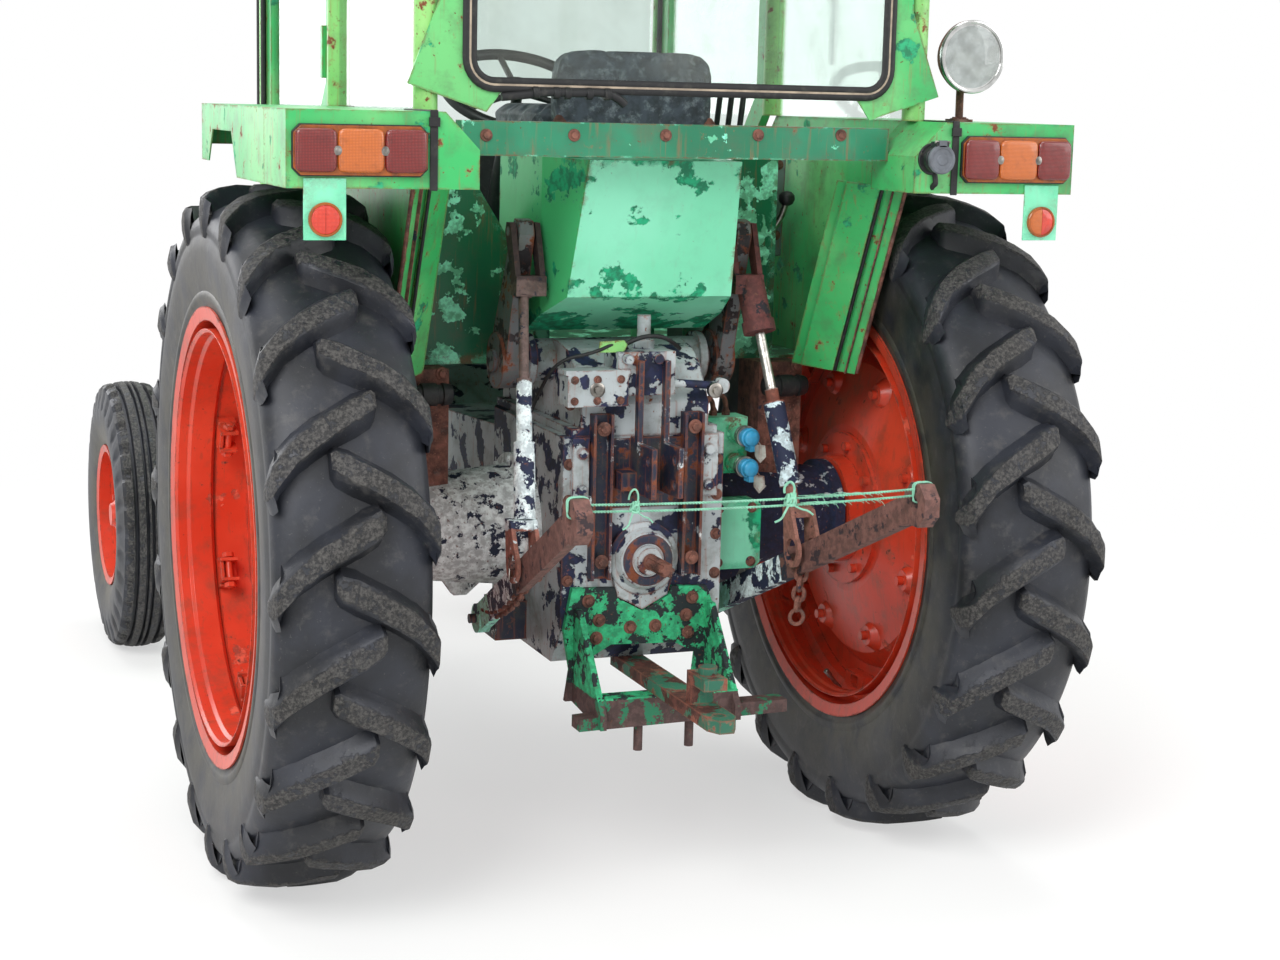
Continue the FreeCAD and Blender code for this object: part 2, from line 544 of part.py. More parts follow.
    parts.append(box("alternator_bracket", ("engine_half", "engine_half + 20"),
                     ("engine_front - 150", "engine_front - 70"),
                     ("935", "985")))
    for count in range(4):
        port = f"bell_front + 200 + {count} * (engine_front - bell_front - 330) / 3"
        parts.append(drum(f"exhaust_port_{count}", "x", (port, "1130"),
                          ("0 - engine_half - 20", "30 - engine_half"), "20"))
    node(fuse("engine", *parts), "engine_block")
    node(box("radiator", ("-200", "200"), ("front_reach - 400", "front_reach - 310"),
             ("rail_top + 20", "1400")), "radiator")

    pipe = turned("stack", "z", (
        ("hood_low - 100", "0"), ("stack_top", "0"), ("stack_top", "stack_radius"),
        ("hood_low - 100", "stack_radius")), ("stack_x", "stack_y", "0"))
    mouth = drum("stack_bore", "z", ("stack_x", "stack_y"), ("hood_low", "stack_top + 10"),
                 "stack_radius - stack_wall")
    elbow = drum("stack_elbow", "x", ("stack_y", "hood_low - 70"), ("stack_x", "0 - engine_half"),
                 "stack_radius - 2")
    node(cut("exhaust", fuse("exhaust_solid", pipe, elbow), mouth), "exhaust_stack")


def front_axle():
    """Front frame, axle beam, knuckles with their stub axles and arms, tie rod."""
    rails = [box(f"front_rail_{side}", span, ("engine_front", "front_reach - 80"),
                 ("rail_bottom", "rail_top"))
             for side, span in (("left", ("0 - rail_half", "0 - rail_inner")),
                                ("right", ("rail_inner", "rail_half")))]
    nose = box("front_crosspiece", ("-215", "215"), ("front_reach - 80", "front_reach"), ("560", "840"))
    saddle = box("axle_saddle", ("0 - rail_inner", "rail_inner"), ("wheelbase - 95", "wheelbase + 95"),
                 ("beam_top", "rail_top - 40"))
    shelf = box("radiator_shelf", ("0 - rail_half", "rail_half"), ("front_reach - 420", "front_reach - 290"),
                ("rail_top", "rail_top + 20"))
    flange = box("frame_flange", ("0 - engine_half", "engine_half"), ("engine_front", "engine_front + 25"),
                 ("rail_bottom", "rail_top"))
    node(fuse("front_frame", *rails, nose, saddle, shelf, flange), "front_frame")

    beam = box("beam", ("0 - kingpin_x + 20", "kingpin_x - 20"),
               ("wheelbase - beam_depth / 2", "wheelbase + beam_depth / 2"), ("beam_bottom", "beam_top"))
    pieces = [beam]
    for side in ("0 - kingpin_x", "kingpin_x"):
        pieces.append(drum("sleeve", "z", (side, "wheelbase"), ("beam_bottom - 20", "beam_top + 20"),
                           "sleeve_radius"))
    bores = [drum("sleeve_bore", "z", (side, "wheelbase"), ("beam_bottom - 30", "beam_top + 30"),
                  "kingpin_radius + running_gap") for side in ("0 - kingpin_x", "kingpin_x")]
    node(cut("front_axle", fuse("front_axle_solid", *pieces), *bores), "front_axle")

    pin = drum("kingpin", "z", ("0 - kingpin_x", "wheelbase"), ("front_radius - 20", "beam_top + 26"),
               "kingpin_radius")
    cap = drum("kingpin_cap", "z", ("0 - kingpin_x", "wheelbase"), ("beam_top + 20.5", "beam_top + 30"),
               "sleeve_radius - 6")
    body = drum("knuckle_body", "z", ("0 - kingpin_x", "wheelbase"),
                ("steer_arm_bottom", "beam_bottom - 20.5"),
                "sleeve_radius + 2")
    stub = drum("stub_axle", "x", ("wheelbase", "front_radius"),
                ("45.5 - front_track / 2 - 90", "0 - kingpin_x"),
                "stub_radius")
    arm = box("steering_arm", ("0 - kingpin_x - 22", "0 - kingpin_x + 22"),
              ("wheelbase - steer_arm - 22", "wheelbase"), ("steer_arm_bottom", "steer_arm_top"))
    hole = drum("arm_hole", "z", ("0 - kingpin_x", "wheelbase - steer_arm"),
                ("steer_arm_bottom - 5", "steer_arm_top + 5"), "tie_pin_radius + running_gap")
    pair(cut("knuckle", fuse("knuckle_solid", pin, cap, body, stub, arm), hole), "steering_knuckle")

    rod_y = "wheelbase - steer_arm"
    pieces = [drum("tie_bar", "x", (rod_y, "tie_rod_z"), ("0 - kingpin_x", "kingpin_x"), "tie_rod_radius")]
    for side in ("0 - kingpin_x", "kingpin_x"):
        pieces.append(drum("tie_eye", "z", (side, rod_y), ("steer_arm_top + 0.5", "tie_rod_z + 16"), "19"))
        pieces.append(drum("tie_pin", "z", (side, rod_y), ("steer_arm_bottom - 6", "tie_rod_z + 10"),
                           "tie_pin_radius"))
    node(fuse("tie_rod", *pieces), "tie_rod")


def hitch():
    """Lift arms, lift rods, lower links, rails, top link bracket, drawbar."""
    shaft = drum("lift_shaft", "x", ("lift_shaft_y", "lift_shaft_z"), ("-290", "290"), "lift_shaft_radius")
    pieces = [shaft]
    for side, sign in (("left", "-1"), ("right", "1")):
        inner = f"{sign} * lift_arm_x - lift_arm_wide / 2"
        outer = f"{sign} * lift_arm_x + lift_arm_wide / 2"
        pieces.append(drum(f"lift_boss_{side}", "x", ("lift_shaft_y", "lift_shaft_z"),
                           (f"{inner} - 6", f"{outer} + 6"), "lift_boss_radius"))
        pieces.append(plate(f"lift_arm_{side}", "yz", (
            ("lift_shaft_y - 56", "lift_shaft_z - 20"), ("lift_shaft_y + 56", "lift_shaft_z + 20"),
            ("lift_pin_y + 26", "lift_pin_z + 8"), ("lift_pin_y + 10", "lift_pin_z + 28"),
            ("lift_pin_y - 18", "lift_pin_z + 24"), ("lift_pin_y - 28", "lift_pin_z - 6")),
            (inner, outer)))
        pieces.append(drum(f"lift_pin_{side}", "x", ("lift_pin_y", "lift_pin_z"),
                           (f"{inner} - 18", f"{outer} + 18"), "hitch_pin_radius"))
    node(fuse("lift_arms", *pieces), "lift_arms")

    # Each lift rod: name, shares of the way from the top pin to the foot, radius.
    stacks = {
        "left": (("bar", "0.17", "0.89", "11"), ("neck", "0.15", "0.20", "19"),
                 ("tube", "0.45", "0.66", "17"),
                 ("tube_low", "0.64", "0.87", "23")),
        "right": (("case", "0.15", "0.30", "32"), ("case_cap", "0.285", "0.32", "37"),
                  ("shaft", "0.17", "0.60", "11"),
                  ("collar", "0.50", "0.54", "15"), ("tube", "0.54", "0.80", "24"),
                  ("bar", "0.78", "0.89", "13")),
    }
    for side, sign in (("left", "-1"), ("right", "1")):
        head = f"{sign} * rod_head_x"
        foot = f"{sign} * rod_foot_x"
        ends = ((head, "lift_pin_y", "lift_pin_z"), (foot, "rod_foot_y", "rod_foot_z"))
        gap = "lift_arm_wide / 2 + 5"
        parts = [rod(f"rod_{name}_{side}", between(*ends, start), between(*ends, end), radius)
                 for name, start, end, radius in stacks[side]]
        for edge, low, high in (("in", f"0 - ({gap}) - 12", f"0 - ({gap})"), ("out", gap, f"{gap} + 12")):
            parts.append(plate(f"rod_fork_{edge}_{side}", "yz", (
                ("lift_pin_y - 60", "lift_pin_z - 100"), ("lift_pin_y - 26", "lift_pin_z - 100"),
                ("lift_pin_y + 22", "lift_pin_z"), ("lift_pin_y + 14", "lift_pin_z + 20"),
                ("lift_pin_y - 14", "lift_pin_z + 20"), ("lift_pin_y - 22", "lift_pin_z")),
                (f"{head} + {low}", f"{head} + {high}"),
                circles=(("lift_pin_y", "lift_pin_z", "hitch_pin_radius + running_gap"),)))
        parts.append(box(f"rod_bridge_{side}", (f"{head} - ({gap}) - 12", f"{head} + {gap} + 12"),
                         ("lift_pin_y - 64", "lift_pin_y - 24"), ("lift_pin_z - 135", "lift_pin_z - 92")))
        parts.append(box(f"rod_foot_bridge_{side}",
                         (f"{foot} - rod_fork_gap - rod_cheek", f"{foot} + rod_fork_gap + rod_cheek"),
                         ("rod_foot_y + 12", "rod_foot_y + 50"), ("rod_foot_z + 70", "rod_foot_z + 92")))
        for edge, low, high in (("in", "0 - rod_fork_gap - rod_cheek", "0 - rod_fork_gap"),
                                ("out", "rod_fork_gap", "rod_fork_gap + rod_cheek")):
            span = (f"{foot} + {low}", f"{foot} + {high}")
            parts.append(drum(f"rod_eye_{edge}_{side}", "x", ("rod_foot_y", "rod_foot_z"), span,
                              "rod_eye_radius"))
            parts.append(plate(f"rod_leg_{edge}_{side}", "yz", (
                ("rod_foot_y - 32", "rod_foot_z + 12"), ("rod_foot_y + 36", "rod_foot_z - 10"),
                ("rod_foot_y + 50", "rod_foot_z + 92"), ("rod_foot_y + 12", "rod_foot_z + 92")), span))
        bores = [drum(f"rod_bore_{side}", "x", ("rod_foot_y", "rod_foot_z"), (f"{foot} - 40", f"{foot} + 40"),
                      "rod_eye_bore")]
        if side == "left":
            for share in ("0.58", "0.78"):
                spot = between(*ends, share)
                bores.append(drum(f"rod_hole_{share[-1]}", "x", spot[1:],
                                  (f"{spot[0]} - 40", f"{spot[0]} + 40"), "6.5"))
        body = parts[0]
        for piece in parts[1:]:
            body = fuse(f"lift_rod_with_{piece.Label}", body, piece)
        node(cut(f"lift_rod_body_{side}", body, *bores), f"lift_rod_{side}")

    for side, sign in (("left", "-1"), ("right", "1")):
        front = f"{sign} * link_front_x"
        end = f"{sign} * link_end_x"
        knee = f"{sign} * (link_end_x - 5)"
        eye = drum(f"link_front_eye_{side}", "x", ("link_pivot_y", "link_pivot_z"),
                   (f"{front} - 14", f"{front} + 14"), "34")
        bar = strut(f"link_bar_{side}", (front, "link_pivot_y - 15", "link_pivot_z + 7"),
                    (knee, "link_end_y + 30", "link_end_z - 13"), "link_wide", "link_high")
        ball = plate(f"link_ball_{side}", "yz", regular(("link_end_y", "link_end_z"), "link_eye_radius", 8),
                     (f"{end} - 17", f"{end} + 17"))
        pin = drum(f"rod_pin_{side}", "x", ("rod_foot_y", "rod_foot_z"),
                   (f"{sign} * rod_foot_x - rod_fork_gap - rod_cheek - 4",
                    f"{sign} * rod_foot_x + rod_fork_gap + rod_cheek + 4"), "rod_pin_radius")
        holes = [drum(f"link_front_bore_{side}", "x", ("link_pivot_y", "link_pivot_z"),
                      (f"{front} - 60", f"{front} + 60"), "hitch_pin_radius + running_gap"),
                 drum(f"link_end_bore_{side}", "x", ("link_end_y", "link_end_z"),
                      (f"{end} - 60", f"{end} + 60"),
                      "link_ball_bore")]
        node(cut(f"link_{side}", fuse(f"link_solid_{side}", eye, bar, ball, pin), *holes),
             f"lower_link_{side}")
    strands = [drum(f"twine_{count}", "x", (f"link_end_y + {along}", f"link_end_z + {up}"),
                    ("17 - link_end_x", "link_end_x - 17"), "twine_radius")
               for count, (along, up) in enumerate((("0", "30"), ("4", "16")))]
    node(together("twine_strands", *strands), "link_twine")

    brackets = []
    for side, sign in (("left", "-1"), ("right", "1")):
        brackets.append(box(f"link_boss_{side}", sorted_span(sign, "housing_half", "link_front_x - 20"),
                            ("link_pivot_y - 45", "link_pivot_y + 45"),
                            ("link_pivot_z - 45", "link_pivot_z + 45")))
        brackets.append(drum(f"link_pin_{side}", "x", ("link_pivot_y", "link_pivot_z"),
                             sorted_span(sign, "link_front_x - 22", "link_front_x + 30"), "hitch_pin_radius"))
    node(together("link_brackets", fuse("link_bracket_left", *brackets[:2]),
                  fuse("link_bracket_right", *brackets[2:])), "link_brackets")

    rails = []
    for side, sign in (("left", "-1"), ("right", "1")):
        section = [(f"{sign} * {across}", along) for across, along in (
            ("84", "0 - housing_rear"), ("84", "rail_y"), ("90", "rail_y"), ("90", "-308"), ("124", "-308"),
            ("124", "rail_y"), ("130", "rail_y"), ("130", "0 - housing_rear"))]
        rails.append(plate(f"hitch_rail_{side}", "xy", section, ("703", "1071")))
        rails.append(box(f"fork_bar_{side}", sorted_span(sign, "25", "37"), ("-352", "-332"),
                         ("1000", "1190")))
        rails.append(box(f"fork_base_{side}", sorted_span(sign, "37", "72"),
                         ("-350", "0 - housing_rear - hitch_plate"),
                         ("905", "945")))
    plates = box("hitch_rail_plate", ("-126", "126"), ("0 - housing_rear - hitch_plate", "0 - housing_rear"),
                 ("860", "1015"))

    cheeks = [box(f"top_fork_{side}", sorted_span(sign, "25", "37"),
                  ("-440", "0 - housing_rear - hitch_plate"),
                  ("900", "1010"))
              for side, sign in (("left", "-1"), ("right", "1"))]
    holes = [drum("top_pin_bore", "x", ("-415", height), ("-60", "60"), "10") for height in ("925", "980")]
    back = box("top_fork_back", ("-37", "37"), ("rail_y", "0 - housing_rear - hitch_plate"), ("890", "1020"))
    node(cut("hitch_rail_set", fuse("hitch_rail_solid", *rails, plates, *cheeks, back), *holes),
         "hitch_rails")

    face = plate("drawbar_plate", "xz", (
        ("-168", "685"), ("-186", "590"), ("-170", "500"), ("-180", "430"), ("-120", "430"), ("-130", "522"),
        ("-74", "553"), ("79", "548"), ("130", "522"), ("120", "430"), ("180", "430"), ("206", "511"),
        ("186", "590"), ("152", "675")), ("0 - housing_rear - 14", "0 - housing_rear"))
    cheeks = [plate(f"drawbar_cheek_{side}", "yz", (
        ("0 - housing_rear", "640"), ("0 - housing_rear", "430"), ("-500", "412"), ("-500", "445"),
        ("-340", "640")),
        sorted_span(sign, "150", "164")) for side, sign in (("left", "-1"), ("right", "1"))]
    cross = plate("drawbar_cross", "xz", (
        ("-205", "408"), ("284", "416"), ("284", "444"), ("164", "444"),
        ("164", "drawbar_z - drawbar_thick / 2"),
        ("-164", "drawbar_z - drawbar_thick / 2"), ("-164", "436"), ("-205", "434")), ("-480", "-430"))
    hangers = [drum(f"drawbar_hanger_{count}", "z", (across, "-455"), ("350", "415"), "10")
               for count, across in enumerate(("-60", "60"))]
    notches = [drum("drawbar_notch", "y", ("0", "pto_z"), ("0 - housing_rear - 20", "1 - housing_rear"),
                    "pto_cover_radius + 12 + running_gap"),
               plate("drawbar_notch_low", "xz", (("-84", "pto_z"), ("-62", "658"), ("0", "625"),
                                                 ("62", "658"),
                                                 ("84", "pto_z")),
                     ("0 - housing_rear - 25", "1 - housing_rear"))]
    node(cut("drawbar_frame_body", fuse("drawbar_frame_solid", face, *cheeks, cross, *hangers),
             *notches),
         "drawbar_frame")

    bar = plate("drawbar_bar", "xy", both_sides((
        ("drawbar_half", "-200"), ("drawbar_half", "drawbar_end + 30"),
        ("drawbar_half - 16", "drawbar_end"))),
        ("drawbar_z - drawbar_thick / 2", "drawbar_z + drawbar_thick / 2"))
    block = box("drawbar_block", ("-26", "26"), ("-735", "-640"),
                ("drawbar_z + drawbar_thick / 2", "drawbar_z + drawbar_thick / 2 + 70"))
    slot = box("drawbar_slot", ("-40", "40"), ("-740", "-665"),
               ("drawbar_z + drawbar_thick / 2", "drawbar_z + drawbar_thick / 2 + 45"))
    knob = drum("drawbar_knob", "z", ("0", "-690"), ("drawbar_z + drawbar_thick / 2 + 66",
                                                     "drawbar_z + drawbar_thick / 2 + 88"),
                "20")
    hole = drum("drawbar_bore", "z", ("0", "drawbar_end + 45"), ("drawbar_z - 60", "drawbar_z + 60"),
                "drawbar_hole")
    node(cut("drawbar", fuse("drawbar_solid", bar, block, knob), slot, hole), "drawbar")

    stems = [drum(f"coupler_{count}", "y", ("268", height), ("-250", "-150"), "17")
             for count, height in enumerate(("930", "1000"))]
    rings = [drum(f"coupler_ring_{count}", "y", ("268", height), (along, f"{along} + 14"), "23")
             for count, (height, along) in enumerate((("930", "-192"), ("1000", "-192"), ("930", "-250"),
                                                      ("1000", "-250")))]
    block = box("coupler_block", ("housing_half", "300"), ("-180", "-110"), ("905", "1035"))
    bracket = box("coupler_bracket", ("housing_half", "housing_half + 6"), ("-230", "-170"), ("690", "1000"))
    case = plate("coupler_case", "xz", (
        ("housing_half", "690"), ("housing_half", "848"), ("308", "848"), ("319", "837"), ("319", "703"),
        ("306", "690")),
        ("-230", "-170"))
    node(fuse("coupler_set", *stems, *rings, block, bracket, case), "hydraulic_couplers")


def sorted_span(sign, inner, outer):
    """A span across the tractor on one side, in rising order."""
    if sign == "1":
        return inner, outer
    return f"0 - ({outer})", f"0 - ({inner})"


def fenders():
    """Fender walls, decks and skirts, light boxes, lamps."""
    wall = plate("fender_wall", "yz", (
        ("-410", "box_bottom + 3"), ("-200", "floor_top - 20"), ("767", "floor_top - 20"),
        ("deck_front + 20", "deck_top - 20"), ("deck_front", "deck_top"), ("box_front", "deck_top")),
        ("0 - wall_x", "sheet - wall_x"))
    deck = box("fender_deck", ("0 - fender_out", "0 - wall_x"), ("box_front", "deck_front"),
               ("deck_top - sheet", "deck_top"))
    skirt = plate("fender_skirt", "yz", (
        ("box_front", "box_bottom"), ("-120", "box_bottom"), ("-60", "deck_top - 55"),
        ("150", "deck_top - 55"),
        ("200", "box_bottom + 25"), ("deck_front", "box_bottom + 25"), ("deck_front", "deck_top"),
        ("box_front", "deck_top")), ("0 - fender_out", "sheet - fender_out"))
    lip = box("fender_lip", ("0 - fender_out", "0 - wall_x"), ("deck_front - sheet", "deck_front"),
              ("box_bottom + 60", "deck_top"))
    panel = leaf("inner_panel", (-size["wall_x"] + 1, -406, size["box_bottom"]),
                 (-size["wall_x"] + 1, -202, size["floor_top"] - 18), (-450, -90, size["floor_top"] - 2),
                 size["sheet"])
    step = leaf("panel_step", (-515, -361, size["box_bottom"] + 6), (-515, -157, size["floor_top"] - 12),
                (-515, -175, size["floor_top"] - 12), size["sheet"])
    raised = leaf("panel_raised", (-516, -379, size["box_bottom"] + 6), (-516, -175, size["floor_top"] - 12),
                  (-460, -118, size["floor_top"] - 4), size["sheet"])
    pair(fuse("fender", wall, deck, skirt, lip, panel, step, raised), "fender")

    shape = (("0 - box_inner", "box_bottom"), ("0 - box_inner", "deck_top - 73"), ("-550", "deck_top"),
             ("0 - fender_out", "deck_top"), ("0 - fender_out", "box_bottom"))
    hollow = (("0 - box_inner - sheet", "box_bottom - 5"), ("0 - box_inner - sheet", "deck_top - 75"),
              ("-552", "deck_top - sheet"), ("sheet - fender_out", "deck_top - sheet"),
              ("sheet - fender_out", "box_bottom - 5"))
    body = cut("light_box", plate("light_box_skin", "xz", shape, ("box_rear", "box_front")),
               plate("light_box_hollow", "xz", hollow, ("box_rear + sheet", "box_front + 5")))
    twins("light_boxes", body)

    lamp_shape = (("-855", "1605"), ("-855", "1675"), ("-840", "1690"), ("-602", "1690"), ("-587", "1675"),
                  ("-587", "1605"), ("-602", "1590"), ("-840", "1590"))
    lamp = [plate("tail_lamp", "xz", lamp_shape, ("box_rear - 12", "box_rear"))]
    # Lenses of a tail lamp: name, outer and inner place across, cut corners outside and inside.
    for name, outer, inner, out_cut, in_cut in (("stop", "850", "770", "12", "1"),
                                                ("turn", "767", "677", "1", "1"),
                                                ("tail", "674", "592", "1", "12")):
        ring = ((outer, "1606"), (outer, "1674"), (f"{outer} - {out_cut}", "1685"),
                (f"{inner} + {in_cut}", "1685"),
                (inner, "1674"), (inner, "1606"), (f"{inner} + {in_cut}", "1595"),
                (f"{outer} - {out_cut}", "1595"))
        lamp.append(plate(f"lens_{name}", "xz", [(f"0 - ({u})", v) for u, v in ring],
                          ("box_rear - 22", "box_rear - 11")))
    reflector = drum("reflector", "y", ("-790", "1508"), ("box_rear - 12", "box_rear - 3"), "30")
    tag = box("reflector_plate", ("-832", "-748"), ("box_rear - 3", "box_rear"), ("1468", "box_bottom + 20"))
    twins("tail_lamps", fuse("tail_lamp_set", *lamp, reflector, tag))

    stem = drum("work_lamp_stem", "z", ("700", "-385"), ("deck_top", "1810"), "9")
    shell = turned("work_lamp_shell", "y", (("-438", "0"), ("-438", "78"), ("-420", "80"), ("-385", "62"),
                                            ("-360", "30"), ("-360", "0")), ("700", "0", "1859"))
    node(fuse("work_lamp", stem, shell), "work_lamp")
    socket = (drum("socket_shell", "y", ("520", "1640"), ("box_rear - 40", "box_rear"), "28"),
              drum("socket_flange", "y", ("520", "1640"), ("box_rear - 6", "box_rear"), "34"),
              drum("socket_lid", "y", ("520", "1640"), ("box_rear - 48", "box_rear - 40"), "31"),
              box("socket_hinge", ("505", "535"), ("box_rear - 48", "box_rear - 20"), ("1664", "1678")))
    node(fuse("socket", *socket), "trailer_socket")


def cab():
    """Cab frame, roof, walls, glass, doors, seat and controls."""
    tubes = []
    for side, sign in (("left", "-1"), ("right", "1")):
        across = f"{sign} * post_x"
        for spot, along, foot in (("rear", "rear_post_y", "deck_top"), ("mid", "mid_post_y", "deck_top"),
                                  ("front", "front_post_y", "floor_top")):
            tubes.append(drum(f"post_{spot}_{side}", "z", (across, along), (foot, "eave"), "post_radius"))
        tubes.append(drum(f"eave_{side}", "y", (across, "eave - post_radius"),
                          ("rear_post_y", "front_post_y"),
                          "post_radius"))
    for spot, along in (("rear", "rear_post_y"), ("front", "front_post_y")):
        tubes.append(drum(f"eave_{spot}", "x", (along, "eave - post_radius"), ("0 - post_x", "post_x"),
                          "post_radius"))
    for side, sign in (("left", "-1"), ("right", "1")):
        for spot, height in (("low", "door_hinge_low"), ("high", "door_hinge_high")):
            tubes.append(drum(f"door_pin_{spot}_{side}", "z", (f"{sign} * door_hinge_x", "front_post_y"),
                              (f"{height} - 45", f"{height} + 30"), "door_pin_radius"))
            tubes.append(box(f"door_bracket_{spot}_{side}", sorted_span(sign, "post_x", "door_hinge_x + 10"),
                             ("front_post_y - 10", "front_post_y + 10"),
                             (f"{height} - 45", f"{height} - 30.5")))
    node(fuse("cab_frame", *tubes), "cab_frame")

    roof = shared("roof_form", plate("roof_plan", "xy", both_sides((
        ("roof_half - 90", "-580"), ("roof_half - 25", "-560"), ("roof_half", "-500"), ("roof_half", "1100"),
        ("roof_half - 30", "1165"), ("roof_half - 100", "1185"))), ("eave", "roof_top")),
        plate("roof_section", "xz", both_sides((
            ("roof_half", "eave"), ("roof_half", "eave + 80"), ("roof_half - 25", "roof_top - 30"),
            ("roof_half - 110", "roof_top - 8"), ("200", "roof_top"))), ("-600", "1200")),
        plate("roof_side", "yz", (
            ("-580", "eave"), ("-580", "eave + 80"), ("-540", "roof_top - 25"), ("-440", "roof_top"),
            ("1040", "roof_top"), ("1150", "roof_top - 25"), ("1185", "eave + 80"), ("1185", "eave")),
              ("-700", "700")))
    hollow = box("roof_hollow", ("-500", "500"), ("-400", "1000"), ("eave - 5", "eave + 70"))
    node(cut("roof", roof, hollow), "roof")

    floor = box("floor", ("sheet - wall_x", "wall_x - sheet"), ("27", "front_post_y + 25"),
                ("floor_top - floor_sheet", "floor_top"))
    panel = plate("rear_lower_panel", "xz", (
        ("-1 - hopper_half", "floor_top - floor_sheet"), ("-1 - hopper_half", "1430"), ("-350", "1640"),
        ("-450", "1640"),
        ("-450", "floor_top - floor_sheet")), ("27", "30"))
    front = box("front_wall", ("-525", "525"), ("front_post_y + 20", "front_post_y + 25"),
                ("floor_top", "hood_top + 20"))
    node(fuse("tub", floor, panel, mirrored("rear_lower_panel_mirror", panel), front), "cab_tub")
    screen = box("windscreen", ("-524", "524"), ("front_post_y + 17", "front_post_y + 23"),
                 ("hood_top + 20", "eave - 2 * post_radius"))
    pane = box("quarter_pane", ("0 - post_x - glass / 2", "glass / 2 - post_x"),
               ("rear_post_y + post_radius", "mid_post_y - post_radius"),
               ("deck_top", "eave - 2 * post_radius"))
    quarter = (pane, mirrored("quarter_pane_mirror", pane))
    node(box("rear_beam", ("0 - box_inner", "box_inner"), ("rear_post_y - 25", "rear_post_y + 20"),
             ("1630", "deck_top - 17")), "rear_beam")

    window = [("440", "1765"), ("475", "1800"), ("475", "2330"), ("440", "2365"),
              ("-440", "2365"), ("-475", "2330"), ("-475", "1800"), ("-440", "1765")]
    rear = plate("rear_window_sheet", "xz", (
        ("400", "1757"), ("430", "deck_top"), ("595", "1770"), ("525", "1950"), ("525", "eave - 10"),
        ("-525", "eave - 10"), ("-525", "1950"), ("-595", "1770"), ("-430", "deck_top"), ("-400", "1757")),
        ("rear_post_y - post_radius - 4", "rear_post_y - post_radius"), cuts=(window,))
    node(rear, "rear_window_frame")
    pane = plate("rear_pane", "xz", window, ("rear_post_y - post_radius - 5", "rear_post_y - post_radius"))
    node(together("glass_panes", screen, *quarter, pane), "cab_glass")

    front = "front_post_y - post_radius - door_gap"
    rear = "mid_post_y + post_radius + door_gap"
    top = "eave - 2 * post_radius - door_gap"
    low = "floor_top + 15"
    edge = "window_edge"
    inner = [(f"{front} - {edge}", f"{top} - {edge}"), (f"{rear} + {edge}", f"{top} - {edge}"),
             (f"{rear} + {edge}", f"deck_top + {edge} + 10"), (f"{front} - 250", f"{low} + {edge} + 90"),
             (f"{front} - {edge}", f"{low} + {edge} + 90")]
    shape = [(front, top), (rear, top), (rear, "deck_top + 8"), (f"{front} - 225", low), (front, low)]
    span = ("0 - post_x - door_thick / 2", "door_thick / 2 - post_x")
    frame = plate("door_frame", "yz", shape, span, cuts=(inner,))
    leaves = [frame]
    for spot, height in (("low", "door_hinge_low"), ("high", "door_hinge_high")):
        leaves.append(cut(f"door_hinge_{spot}", box(
            f"door_hinge_leaf_{spot}", ("0 - door_hinge_x - 12", "0 - post_x - door_thick / 2 + 4"),
            ("front_post_y - post_radius - 60", "front_post_y + 12"), (f"{height} - 30", f"{height} + 20")),
            box(f"door_hinge_notch_{spot}", ("0 - door_hinge_x + 14", "0 - post_x + post_radius + 5"),
                ("front_post_y - post_radius - 2", "front_post_y + 14"),
                (f"{height} - 31", f"{height} + 21")),
            drum(f"door_hinge_bore_{spot}", "z", ("0 - door_hinge_x", "front_post_y"),
                 (f"{height} - 40", f"{height} + 30"), "door_pin_radius + running_gap")))
    leaves.append(box("door_handle", ("-577", "5 - post_x - door_thick / 2"),
                      (f"{rear} + 12", f"{rear} + 32"),
                      ("1780", "1900")))
    pair(fuse("door", *leaves), "door")
    pane = plate("door_pane", "yz", inner, ("0 - post_x - glass / 2", "glass / 2 - post_x"))
    pair(pane, "door_glass")

    hopper = shared("hopper", plate("seat_box_side", "yz", (
        ("-390", "1622"), ("-310", "1326"), ("-100", "1234"), ("100", "1234"), ("100", "1622")),
                                    ("-300", "300")),
        plate("seat_box_plan", "xy", both_sides((("174", "-390"), ("hopper_half", "-200"),
                                                 ("hopper_half", "100"))), ("1200", "1700")))
    feet = [box(f"seat_box_foot_{side}", sorted_span(sign, "110", "150"), ("40", "90"), ("floor_top", "1236"))
            for side, sign in (("left", "-1"), ("right", "1"))]
    node(fuse("seat_box_body", hopper, *feet), "seat_box")
    cushion = plate("seat_cushion", "xy", both_sides((
        ("seat_half", "seat_back_y + 60"), ("seat_half + 20", "seat_back_y + 90"), ("seat_half + 20", "250"),
        ("seat_half - 30", "300"))), ("1622", "seat_top"))
    back = plate("seat_back", "xz", both_sides((
        ("seat_half - 20", "1622"), ("seat_half", "1650"), ("seat_half", "seat_back_top - 70"),
        ("seat_half - 30", "seat_back_top - 22"), ("seat_half - 90", "seat_back_top"))),
        ("seat_back_y", "seat_back_y + 62"))
    node(fuse("seat", cushion, back), "seat")

